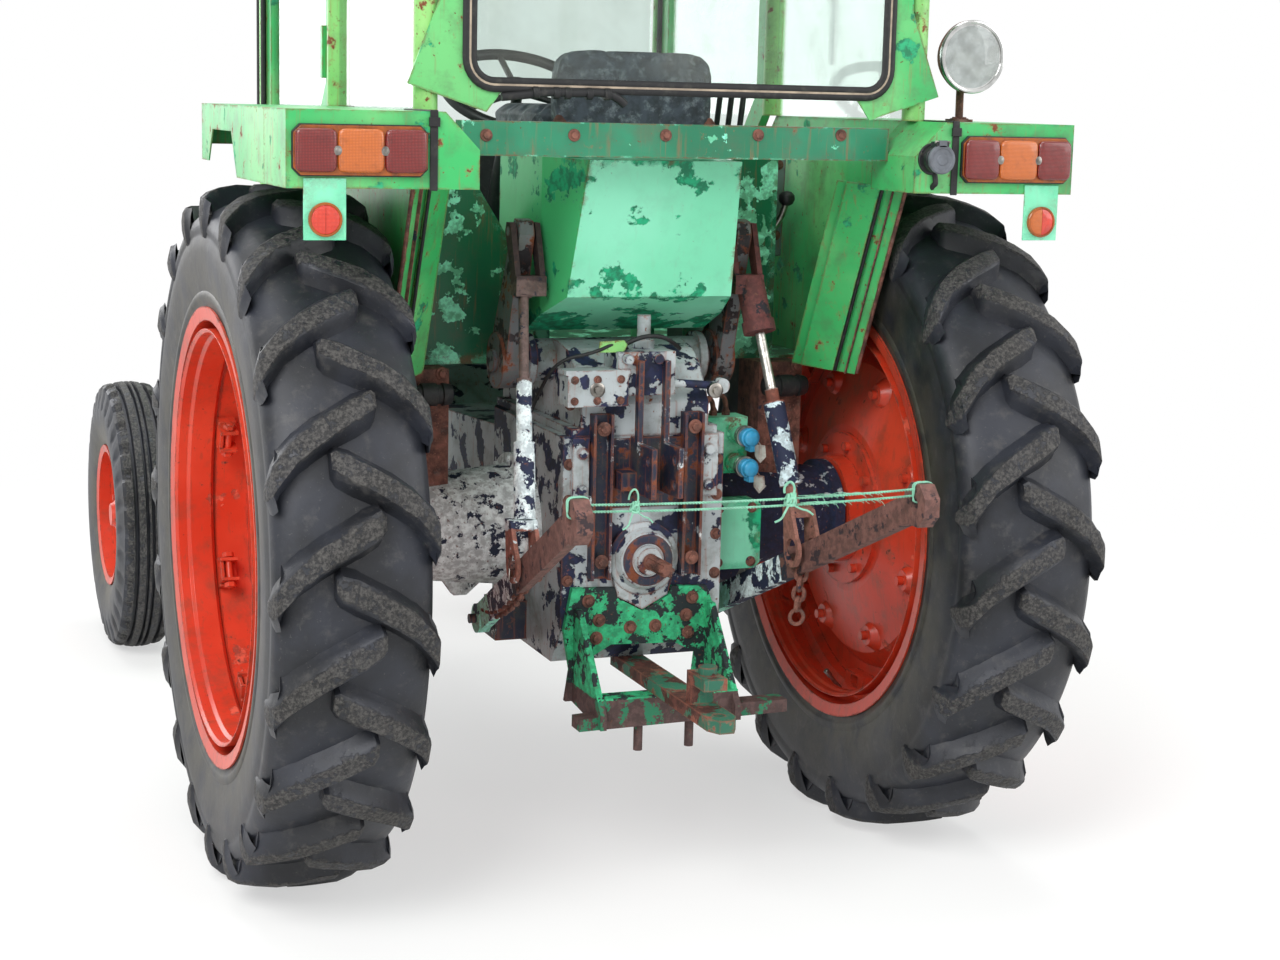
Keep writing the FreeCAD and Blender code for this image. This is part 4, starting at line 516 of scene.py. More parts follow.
class Finish(Enum):
    """The tractor's finishes, each a real material and how its surface was made."""

    BRIGHT_GREEN = Enamel("bright green enamel", "green_paint", "3db766", "74cb7c", "1f7a54", level=0.635,
                          rusting=0.645, specks=0.65)
    YELLOW_GREEN = Enamel("sun-bleached green enamel", "green_paint", "7cc66c", "98d47c", "4a6a34", level=0.64,
                          rusting=0.61, specks=0.625)
    MINT = Enamel("mint green enamel", "pale_green_paint", "7cdfb2", "8ee9c2", "15805a", level=0.62,
                  flake_mm=170, rusting=0.72, specks=0.70, grime_and_shade_share=0.12, streaks=0.06, wear_mm=45, edge_wear=0.12)
    HOPPER = Enamel("mint enamel over old green", "pale_green_paint", "7ce0b4", "8feac4", "137a56", level=0.615,
                    flake_mm=95, rusting=0.74, specks=0.70, grime_and_shade_share=0.12, streaks=0.05, wear_mm=30, edge_wear=0.05,
                    flank="4fc57e", scuffs=(("Z", 1262, 62, 0.13), ("Z", 1600, 60, 0.09), ("X", -165, 60, 0.05),
                                            ("Z", 1200, 40, 0.06)))
    DARK_GREEN = Enamel("dark green enamel", "dark_green_paint", "0f6646", "147049", "6fc096", level=0.545,
                        flake_mm=75, rusting=0.69, specks=0.70, wear_mm=30, edge_wear=0.08)
    BEAM_GREEN = Enamel("scraped green enamel", "dark_green_paint", "1f7453", "2f8c68", "68c49a", level=0.635,
                        flake_mm=60, rusting=0.66, specks=0.665)
    DRAWBAR = Enamel("worn drawbar enamel", "rusty_steel", "2d6b55", "3f8a6c", "4a2c26", rust="7a4a3c", level=0.52,
                     flake_mm=80, rusting=0.60, specks=0.64, rough=0.6)
    # The castings' coat is darkened and their grime share raised so that they stand partly for the shade over the
    # hitch: painted shade, with real grime.
    CASTING = Enamel("grey casting enamel", "casting_paint", "a7b0b3", "bcc3c5", "141930", level=0.545,
                     flake_mm=80, rusting=0.66, specks=0.65, edge_wear=0.07, rough=0.45,
                     grime_and_shade_share=0.7)
    ARM = Enamel("worn lift arm enamel", "casting_paint", "63666a", "777b7e", "241f22", level=0.535, flake_mm=60,
                 rusting=0.60, specks=0.62, edge_wear=0.10, rough=0.5)
    NAVY = Enamel("navy casting enamel", "casting_paint", "171c30", "1f263c", "a9b2b6", level=0.645,
                  flake_mm=70, rusting=0.59, specks=0.635, rough=0.5)
    FRAME_GREEN = Banded("flaked drawbar frame enamel", "green_paint", (0, 0, 400), (0, 0, 700), (
        (0.24, "4a3836", "2a7a58", 0.57, 0.0), (2.0, "2f9a6a", "1a2628", 0.515, 0.0)))
    RIM_RED = Enamel("orange red wheel enamel", "rim_paint", "cf3a20", "dc4a30", "9c4230", rust="5d3326", level=0.66,
                     flake_mm=90, rusting=0.665, specks=0.675, rough=0.34, grime_and_shade="6a4a38", grime_and_shade_share=0.55)
    ROOF_WHITE = Enamel("off-white roof enamel", "roof_paint", "bfc2b8", "cccec4", "8f958c", level=0.68)
    TRUMPET = Banded("axle casting enamel, light on the left", "casting_paint", (-600, 0, 775), (600, 0, 775), (
        (0.5, "bcc0c0", "1a2138", 0.555, 0.0), (2.0, "1a2138", "b4bcc0", 0.60, 0.0)))
    ENGINE_GREY = Enamel("engine grey enamel", "engine_paint", "6f797b", "7c8587", "22282c", level=0.60,
                         grime_and_shade_share=0.6, rough=0.5)
    TYRE = Rubber("moulded tyre rubber", "tyre_rubber")
    RUSTY = RustySteel("rusted bar steel", "rusty_steel")
    ROD_LEFT = Banded("left lift rod in its old paints", "rusty_steel", (-257, -200, 1460), (-324, -450, 775), (
        (0.16, "3a2c2c", "1c1e2c", 0.58, 0.0), (0.46, "5a4a46", "2a2c3a", 0.56, 0.2),
        (0.90, "bcc6c9", "1b2340", 0.52, 0.0), (2.0, "7a4e42", "c0c8ca", 0.62, 0.0)))
    ROD_RIGHT = Banded("right lift rod in its old paints", "rusty_steel", (257, -200, 1460), (324, -450, 775), (
        (0.325, "512a28", "1e1a22", 0.57, 0.0), (0.50, "b8b4ae", "6e4a40", 0.62, 0.9),
        (0.545, "6a3c30", "2a2026", 0.62, 0.0), (0.80, "a9b7bb", "18203c", 0.47, 0.0),
        (2.0, "7a5348", "1e2234", 0.60, 0.0)))
    LINK = Banded("lower link in its old paints", "rusty_steel", (0, -20, 560), (0, -900, 955), (
        (0.14, "8fd8b8", "1b2a3c", 0.56, 0.0), (0.40, "b9c4c6", "18203a", 0.49, 0.0),
        (0.43, "20222c", "6a463c", 0.60, 0.0), (2.0, "5f423c", "34282c", 0.57, 0.0)))
    BARE_STEEL = Plain("turned steel", "bare_steel", "a6a19a", rough=0.32, metal=1.0, grain_mm=1.5, varied=0.7)
    CHROME = Plain("chromed steel", "bare_steel", "d5d6d4", rough=0.14, metal=1.0, grain_mm=9, deep_mm=0.05,
                   varied=0.85)
    BLACK_PLASTIC = Plain("moulded black plastic", "black_plastic", "1d1e21", rough=0.45)
    GREY_PLASTIC = Plain("moulded grey plastic", "black_plastic", "6b7078", rough=0.5)
    BLUE_PLASTIC = Plain("moulded blue plastic", "black_plastic", "3aa6d6", rough=0.4)
    BLACK_RUBBER = Plain("extruded black rubber", "black_plastic", "17181a", rough=0.6, grain_mm=2.0)
    # A beige strip that is partly a painted highlight along the window gasket.
    FILLER_AND_HIGHLIGHT = Plain("aged beige sealing strip", "black_plastic", "b9a893", rough=0.7)
    VINYL = Plain("dusty blue-grey seat vinyl", "seat_vinyl", "454b57", rough=0.6, grain_mm=3.2, deep_mm=0.3,
                  varied=0.6, dust="9aa0a8", dust_share=0.55)
    WORN_BROWN = Plain("worn brown seat canvas", "seat_vinyl", "4a2f28", rough=0.85, grain_mm=4.0, deep_mm=0.5,
                       varied=1.8, dust="8a5a48", dust_share=0.6)
    GLASS = Glass("cab window glass", "window_glass")
    LAMP_GLASS = Glass("pressed lamp glass", "lamp_glass", "eef2f2", 0.25)
    # Each lens's second colour is painted shade between the painted highlights on its ribs.
    RED_LENS = Lens("red acrylic lens", "lamp_lens", "a01c14", "5a0f0c")
    AMBER_LENS = Lens("amber acrylic lens", "lamp_lens", "e07a28", "b4581c")
    LENS_RIM = Plain("amber lens rim", "lamp_lens", "a85a22", rough=0.15, dust="4a2c1c", dust_share=0.5)
    CAT_EYE = Lens("prismatic red reflector", "lamp_lens", "ff5436", "c02a18", rib_mm=4.0)
    TWINE = Plain("mint polypropylene twine", "twine", "93d6b8", rough=0.55, varied=0.86, dust_share=0.3)

    def material(self) -> bpy.types.Material:
        """The finish as a Blender material, built once."""
        kept = bpy.data.materials.get(self.value.name)
        return kept if kept else self.value.material()


NODE_FINISH = {
    Finish.RIM_RED: ("rear_rim_left", "rear_rim_right", "front_rim_left", "front_rim_right"),
    Finish.CASTING: ("gearbox_housing", "lift_housing", "pto_cover"),
    Finish.ARM: ("lift_arms",),
    Finish.TRUMPET: ("axle_trumpets",),
    Finish.NAVY: ("link_brackets", "hitch_rails", "front_frame", "front_axle",
                  "steering_knuckle_left", "steering_knuckle_right"),
    Finish.ENGINE_GREY: ("engine_block",),
    Finish.BRIGHT_GREEN: ("fender_left", "fender_right", "light_boxes", "door_left", "door_right", "hood",
                          "grille_panel", "rear_window_frame"),
    Finish.YELLOW_GREEN: ("cab_frame",),
    Finish.FRAME_GREEN: ("drawbar_frame",),
    Finish.MINT: ("hydraulic_couplers",),
    Finish.HOPPER: ("seat_box",),
    Finish.DARK_GREEN: ("cab_tub", "steps"),
    Finish.BEAM_GREEN: ("rear_beam",),
    Finish.ROOF_WHITE: ("roof",),
    Finish.RUSTY: ("exhaust_stack", "cab_mounts"),
    Finish.LINK: ("lower_link_left", "lower_link_right"),
    Finish.ROD_LEFT: ("lift_rod_left",),
    Finish.ROD_RIGHT: ("lift_rod_right",),
    Finish.DRAWBAR: ("drawbar",),
    Finish.BARE_STEEL: ("pto_shaft", "tie_rod", "hood_hinges"),
    Finish.BLACK_PLASTIC: ("radiator", "trailer_socket", "dashboard", "steering_wheel", "control_levers"),
    Finish.GLASS: ("cab_glass", "door_glass_left", "door_glass_right"),
    Finish.LAMP_GLASS: ("headlamps",),
}


@dataclass
class Form:
    """A mesh under construction, in the tractor's millimetres."""

    shape: bmesh.types.BMesh = field(default_factory=bmesh.new)

    def ring(self, points: list[Vector]) -> list[bmesh.types.BMVert]:
        """Adds loose points, one after another."""
        return [self.shape.verts.new(p) for p in points]

    def bridge(self, first: list, second: list, closed: bool = True) -> "Form":
        """Joins two rows of points with four-sided faces.

        Args:
            first: One row.
            second: The next row, as long as the first.
            closed: Whether the rows are rings.

        Returns:
            The form.
        """
        count = len(first)
        for k in range(count if closed else count - 1):
            n = (k + 1) % count
            self.shape.faces.new((first[k], first[n], second[n], second[k]))
        return self

    def loft(self, rings: list[list[Vector]], caps: bool = True, loop: bool = False) -> list[list]:
        """Lofts closed rings of points one after another.

        Args:
            rings: The rings, all of one length.
            caps: Whether the first and last ring are closed with a face.
            loop: Whether the last ring joins the first.

        Returns:
            The rings' points.
        """
        rows = [self.ring(points) for points in rings]
        for k in range(len(rows) - 1):
            self.bridge(rows[k], rows[k + 1])
        if loop:
            self.bridge(rows[-1], rows[0])
        elif caps:
            self.shape.faces.new(rows[0])
            self.shape.faces.new(rows[-1])
        return rows

    def box(self, low: tuple, high: tuple, tilt: Matrix | None = None) -> "Form":
        """Adds a block between two corners.

        Args:
            low: The lowest corner.
            high: The highest corner.
            tilt: A transform of its own, or none.

        Returns:
            The form.
        """
        (x0, y0, z0), (x1, y1, z1) = low, high
        corners = [[Vector((x, y, z)) for x, y in ((x0, y0), (x1, y0), (x1, y1), (x0, y1))] for z in (z0, z1)]
        if tilt:
            corners = [[tilt @ p for p in row] for row in corners]
        self.loft(corners)
        return self

    def turned(self, start: tuple, end: tuple, profile: tuple, steps: int = 32) -> "Form":
        """Adds a turned form along a line.

        Args:
            start: Where the line starts.
            end: Where it ends.
            profile: Pairs of millimetres along the line and radius; a radius of nought closes an end.
            steps: Corners round it.

        Returns:
            The form.
        """
        start, axis = Vector(start), (Vector(end) - Vector(start)).normalized()
        turn = axis.to_track_quat("Z", "Y")
        rows = []
        for along, radius in profile:
            centre = start + axis * along
            if radius <= 0:
                rows.append([self.shape.verts.new(centre)] * steps)
                continue
            rows.append(self.ring([centre + turn @ Vector((radius * c, radius * s, 0)) for c, s in circle(steps)]))
        for one, two in zip(rows, rows[1:]):
            for k in range(steps):
                n = (k + 1) % steps
                corners = list(dict.fromkeys((one[k], one[n], two[n], two[k])))
                if len(corners) > 2:
                    self.shape.faces.new(corners)
        for row in (rows[0], rows[-1]):
            if row[0] is not row[1]:
                self.shape.faces.new(row)
        return self

    def rod(self, start: tuple, end: tuple, radius: float, steps: int = 24) -> "Form":
        """Adds a round bar with softened ends."""
        long = (Vector(end) - Vector(start)).length
        soft = min(radius * 0.2, long * 0.2)
        return self.turned(start, end, ((0, 0), (0, radius - soft), (soft, radius), (long - soft, radius),
                                        (long, radius - soft), (long, 0)), steps)

    def tube(self, points: list, radius: float, steps: int = 12) -> "Form":
        """Adds a bent bar or hose along a smooth curve through its bends.

        Args:
            points: The few places that the curve is led by.
            radius: Its radius.
            steps: Corners round it.

        Returns:
            The form.
        """
        line = curve_points([Vector(p) for p in points])
        rings, side = [], None
        for k, spot in enumerate(line):
            ahead = (line[min(k + 1, len(line) - 1)] - line[max(k - 1, 0)]).normalized()
            side = (ahead.orthogonal() if side is None else side - ahead * side.dot(ahead)).normalized()
            up = ahead.cross(side)
            rings.append([spot + radius * (side * c + up * s) for c, s in circle(steps)])
        self.loft(rings)
        return self

    def plate(self, outline: list[tuple], axis: str, low: float, high: float) -> "Form":
        """Adds a plate of any outline.

        Args:
            outline: Its corners, as pairs in the two other axes.
            axis: The axis it is thick along, X, Y or Z.
            low: Where it starts on that axis.
            high: Where it ends.

        Returns:
            The form.
        """
        spot = "XYZ".index(axis)
        rings = []
        for level in (low, high):
            points = [list(pair) for pair in outline]
            for point in points:
                point.insert(spot, level)
            rings.append([Vector(p) for p in points])
        self.loft(rings)
        return self

    def bolt(self, place: tuple, away: tuple, across: float, washer: bool = True) -> "Form":
        """Adds a hexagon bolt's head on its washer.

        Args:
            place: Where the washer sits.
            away: The direction that the head points in.
            across: The width across its flats.
            washer: Whether there is a washer.

        Returns:
            The form.
        """
        place, away = Vector(place), Vector(away).normalized()
        if washer:
            self.turned(place - away * 1.5, place + away * 3, ((0, across), (3.5, across), (4.5, across * 0.94)), 24)
        head = across * 0.62
        self.turned(place - away, place + away * across, (
            (0, head), (across * 0.62, head), (across * 0.68, head * 0.86), (across * 0.68, 0)), 6)
        return self

    def bolts(self, places: list[tuple[float, float]], y: float, across: float) -> "Form":
        """Adds bolts that point back, at pairs of X and Z on a face at one Y."""
        for x, z in places:
            self.bolt((x, y, z), BEHIND, across)
        return self

    def piece(self, name: str, finish: Finish, bevel: float = 0.0, body: str = "chassis", stands_for: tuple = (),
              sharp: float = 35.0) -> bpy.types.Object:
        """Closes the form as one piece of the tractor.

        Args:
            name: The piece's name.
            finish: Its finish.
            bevel: How wide its edges are rounded, in millimetres.
            body: The body it rides on.
            stands_for: CAD nodes that it replaces.
            sharp: Edges sharper than this many degrees stay crisp.

        Returns:
            The new object.
        """
        bmesh.ops.recalc_face_normals(self.shape, faces=self.shape.faces)
        self.shape.transform(TO_ROW)
        mesh = bpy.data.meshes.new(name)
        self.shape.to_mesh(mesh)
        self.shape.free()
        mesh.polygons.foreach_set("use_smooth", [True] * len(mesh.polygons))
        mesh.set_sharp_from_angle(angle=math.radians(sharp))
        item = shown(name, mesh)
        mesh.materials.append(finish.material())
        if bevel:
            edge = item.modifiers.new("rounded edges", "BEVEL")
            edge.width, edge.segments, edge.limit_method = bevel * MM, 2, "ANGLE"
            edge.angle_limit = math.radians(sharp)
            edge.harden_normals = True
        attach(item, body)
        for node in stands_for:
            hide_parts(node)
        log.info("%s rides on %s", name, body)
        return item


def curve_points(leads: list[Vector]) -> list[Vector]:
    """Reads the points of a smooth curve led by a few places.

    Args:
        leads: The places, the first and last of which the curve reaches.

    Returns:
        The curve's points.
    """
    if len(leads) < 3:
        return leads
    curve = bpy.data.curves.new("lead", "CURVE")
    curve.dimensions = "3D"
    curve.resolution_u = 8
    spline = curve.splines.new("NURBS")
    spline.points.add(len(leads) - 1)
    for point, lead in zip(spline.points, leads):
        point.co = (*lead, 1)
    spline.order_u = 3
    spline.use_endpoint_u = True
    item = bpy.data.objects.new("lead", curve)
    mesh = bpy.data.meshes.new_from_object(item)
    points = [v.co.copy() for v in mesh.vertices]
    bpy.data.objects.remove(item)
    bpy.data.curves.remove(curve)
    bpy.data.meshes.remove(mesh)
    return points


@dataclass(frozen=True)
class RearTyre:
    """A rear tractor tyre with twenty chevron lugs a side, nose first at the middle."""

    half_width: float = 170
    outside: float = 775
    lugs: int = 20
    carcass: tuple = ((0, 737), (60, 734), (108, 727), (140, 714), (155, 700), (160, 684), (160.5, 672),
                      (158.5, 668), (160, 660), (163, 646), (163.5, 630), (161, 600), (157.5, 570), (154, 548),
                      (153, 542), (155.5, 538), (156, 528), (153.5, 523), (150, 518), (148.5, 505), (147.5, 494),
                      (145, 485))
    steps: int = 160
    # Along the lug: place across, lead round the tyre, width, radius of its top and of its foot.
    stations: tuple = ((-50, 47, 34, 764, 736), (-40, 43, 50, 773, 736), (-8, 27, 56, 775, 737), (32, 5, 56, 775, 732),
                       (75, -20, 57, 773, 728), (115, -50, 59, 766, 718), (145, -84, 61, 756, 706),
                       (162, -109, 60, 744, 690), (167.5, -120, 56, 722, 676), (169.2, -125, 44, 698, 664),
                       (167.5, -128, 30, 676, 654), (164.5, -129, 16, 660, 648))
    # Across the lug: share of its width, level from foot to top, and how much wider it is there.
    section: tuple = ((-0.5, 0.0, 1.9), (-0.5, 0.45, 1.3), (-0.5, 0.86, 1.02), (-0.38, 1.0, 1.0), (0.0, 1.0, 1.0),
                      (0.38, 1.0, 1.0), (0.5, 0.86, 1.02), (0.5, 0.45, 1.3), (0.5, 0.0, 1.9))
    shoulder: int = 7

    def carcass_form(self, form: Form, soiled: object) -> None:
        """Turns the carcass and its ribs about the axle."""
        outline = [(-x, r) for x, r in reversed(self.carcass)] + list(self.carcass[1:])
        rings = [[Vector((x, r * s, r * c)) for x, r in outline] for c, s in circle(self.steps)]
        for row in form.loft(rings, loop=True):
            for vert, (x, r) in zip(row, outline):
                vert[soiled] = max(0.0, min(1.0, (700 - r) / 170)) * 0.8

    def lug(self, form: Form, side: int, turn: float, seed: int, worn: object) -> None:
        """Adds one lug, from the middle of the tread round the shoulder to a fin on the side.

        Args:
            form: The tyre's form.
            side: Minus one or one along X.
            turn: Its angle round the axle.
            seed: Where its chips are read from the noise.
            worn: The layer of the share called worn.
        """
        made = []
        for k, (x, s, wide, top, base) in enumerate(self.stations):
            row = []
            for share, level, width in self.section:
                spot = Vector((x * 0.02, s * 0.02, seed * 3.1 + share * 5))
                chip = noise.noise(spot) * 6
                along = s + share * wide * width + noise.noise(spot * 1.7 + Vector((5, 1, 0))) * 7 * level
                if k < self.shoulder:
                    radius = base - 6 + (top - base + 6) * level - max(0, chip) * (level == 1)
                    out = x
                else:
                    radius = top + (0 if level == 1 else -8 * (1 - level))
                    inner = x - 9 - 5 * (k > 9)
                    out = inner + (x - inner) * level
                radius = min(radius, self.outside - 0.5)
                angle = turn + along / self.outside
                vert = form.shape.verts.new(Vector((side * min(out, self.half_width - 0.5), radius * math.sin(angle),
                                                    radius * math.cos(angle))))
                vert[worn] = 1.0 if level == 1 else 0.35 * level
                row.append(vert)
            made.append(row)
        for one, two in zip(made, made[1:]):
            form.bridge(one, two)
        form.shape.faces.new(made[0])
        form.shape.faces.new(made[-1])

    def build(self, side: Side) -> bpy.types.Object:
        """Builds the tyre of one side.

        Args:
            side: The tractor's side; the right tyre mirrors the left.

        Returns:
            The tyre.
        """
        form = Form()
        worn = form.shape.verts.layers.float.new("worn")
        soiled = form.shape.verts.layers.float.new("soiled")
        self.carcass_form(form, soiled)
        for k in range(self.lugs):
            for hand in (-1, 1):
                turn = math.tau * (k + (0.5 if hand < 0 else 0)) / self.lugs
                self.lug(form, hand, turn, k + (50 if hand < 0 else 0), worn)
        if side is Side.RIGHT:
            form.shape.transform(Matrix.Scale(-1, 4, (1, 0, 0)))
        form.shape.transform(Matrix.Translation((side.value * TRACK_HALF, 0, AXLE_Z)))
        return form.piece(f"rear_tyre_rubber_{side.word}", Finish.TYRE, body=f"rear_wheel_{side.word}",
                          stands_for=(f"rear_tyre_{side.word}",), sharp=38)


@dataclass(frozen=True)
class FrontTyre:
    """A front tyre with three ribs round its middle and notched blocks on its shoulders."""

    centre_x: float = 755
    centre_y: float = 2200
    centre_z: float = 420
    blocks: int = 30
    groove_x: float = 47
    outline: tuple = ((-70, 222), (-76, 236), (-82, 262), (-87, 300), (-87.5, 330), (-84, 356), (-79, 376), (-76, 398),
                      (-66, 408), (-52, 412), (-47, 412), (-44, 396), (-36, 396), (-33, 415), (-14, 418), (-11, 402),
                      (-6, 402), (-3, 418), (3, 418), (6, 402), (11, 402), (14, 418), (33, 415), (36, 396),
                      (44, 396), (47, 412), (52, 412), (66, 408), (76, 398), (79, 376), (84, 356), (87.5, 330),
                      (87, 300), (82, 262), (76, 236), (70, 222))

    def build(self, side: Side) -> bpy.types.Object:
        """Builds the tyre of one side."""
        form = Form()
        worn = form.shape.verts.layers.float.new("worn")
        soiled = form.shape.verts.layers.float.new("soiled")
        rings = []
        for k, (c, s) in enumerate(circle(self.blocks * 6)):
            ring = []
            for x, r in self.outline:
                if k % 6 in (4, 5) and abs(x) > self.groove_x and r > 350:
                    x, r = x * 0.955, r - 13
                ring.append(Vector((x, r * s, r * c)))
            rings.append(ring)
        for row in form.loft(rings, loop=True):
            for vert, (x, r) in zip(row, self.outline):
                vert[worn] = 1.0 if r > 407 else 0.0
                vert[soiled] = max(0.0, min(1.0, (330 - r) / 90))
        form.shape.transform(Matrix.Translation((side.value * self.centre_x, self.centre_y, self.centre_z)))
        return form.piece(f"front_tyre_rubber_{side.word}", Finish.TYRE, body=f"front_wheel_{side.word}",
                          stands_for=(f"front_tyre_{side.word}",), sharp=32)


@dataclass(frozen=True)
class Wheels:
    """Four tyres, and what is screwed to the rims."""

    rear: RearTyre = RearTyre()
    front: FrontTyre = FrontTyre()
    valve_radius: float = 418
    well: float = 458
    clamps_round: int = 8
    # Each edge's steps: place out from the wheel's middle and height above the well.
    edge_steps: tuple = ((1, ((153, 0), (147, 7), (126, 7), (119, 14), (70, 14), (62, 4))),
                         (-1, ((153, 0), (147, 7), (132, 7), (126, 12), (112, 12), (108, 2))))

    def valve(self, side: Side) -> None:
        """Adds the tyre's valve, a bent brass stem through the rim's well."""
        x, z, inner = side.value * TRACK_HALF, AXLE_Z - self.valve_radius, -side.value
        form = Form()
        form.tube([(x + inner * 95, 0, z - 40), (x + inner * 112, 0, z - 22), (x + inner * 128, 0, z - 2)], 5)
        form.rod((x + inner * 124, 0, z - 7), (x + inner * 138, 0, z + 10), 7, 12)
        form.piece(f"valve_{side.word}", Finish.BARE_STEEL, body=f"rear_wheel_{side.word}")

    def liner(self, side: Side) -> None:
        """Builds the stepped bands inside both edges of a rear rim."""
        form = Form()
        for hand, steps in self.edge_steps:
            inside = [Vector((side.value * (TRACK_HALF + hand * out), self.well - deep, 0)) for out, deep in steps]
            outline = inside + [Vector((p.x, self.well + 1.5, 0)) for p in reversed(inside)]
            form.loft([[Vector((p.x, p.y * s, AXLE_Z + p.y * c)) for p in outline] for c, s in circle(96)], loop=True)
        form.piece(f"rim_steps_{side.word}", Finish.RIM_RED, 1.0, body=f"rear_wheel_{side.word}")

    def clamps(self, side: Side) -> None:
        """Builds the eight clamps in a rear rim's outer half: foot plate, two ribs and a bolt."""
        form, bolts = Form(), Form()
        for k in range(self.clamps_round):
            turn = Matrix.Translation((side.value * TRACK_HALF, 0, AXLE_Z)) @ Matrix.Rotation(
                math.tau * (k + 0.5) / self.clamps_round, 4, "X")
            out = sorted((side.value * 18, side.value * 60))
            form.box((out[0], -36, 432), (out[1], 36, self.well - 1), turn)
            for along in (-28, 20):
                form.box((out[0], along, 396), (out[1], along + 8, 434), turn)
            form.box((out[0], -24, 404), (out[0] + 9, 24, 434), turn)
            middle = (out[0] + out[1]) / 2
            ends = [turn @ Vector((middle, along, 412)) for along in (-44, 44)]
            bolts.rod(ends[0], ends[1], 8, 12)
            for one, two in (ends, reversed(ends)):
                bolts.turned(one, two, ((2, 14), (13, 14), (14, 12), (14, 0)), 6)
        form.piece(f"rim_clamps_{side.word}", Finish.RIM_RED, 1.5, body=f"rear_wheel_{side.word}")
        bolts.piece(f"rim_clamp_bolts_{side.word}", Finish.RIM_RED, 0.5, body=f"rear_wheel_{side.word}")

    def build(self) -> None:
        """Builds the four tyres and what the rear rims carry."""
        for side in Side:
            self.liner(side)
            self.clamps(side)
            self.rear.build(side)
            self.front.build(side)
            self.valve(side)


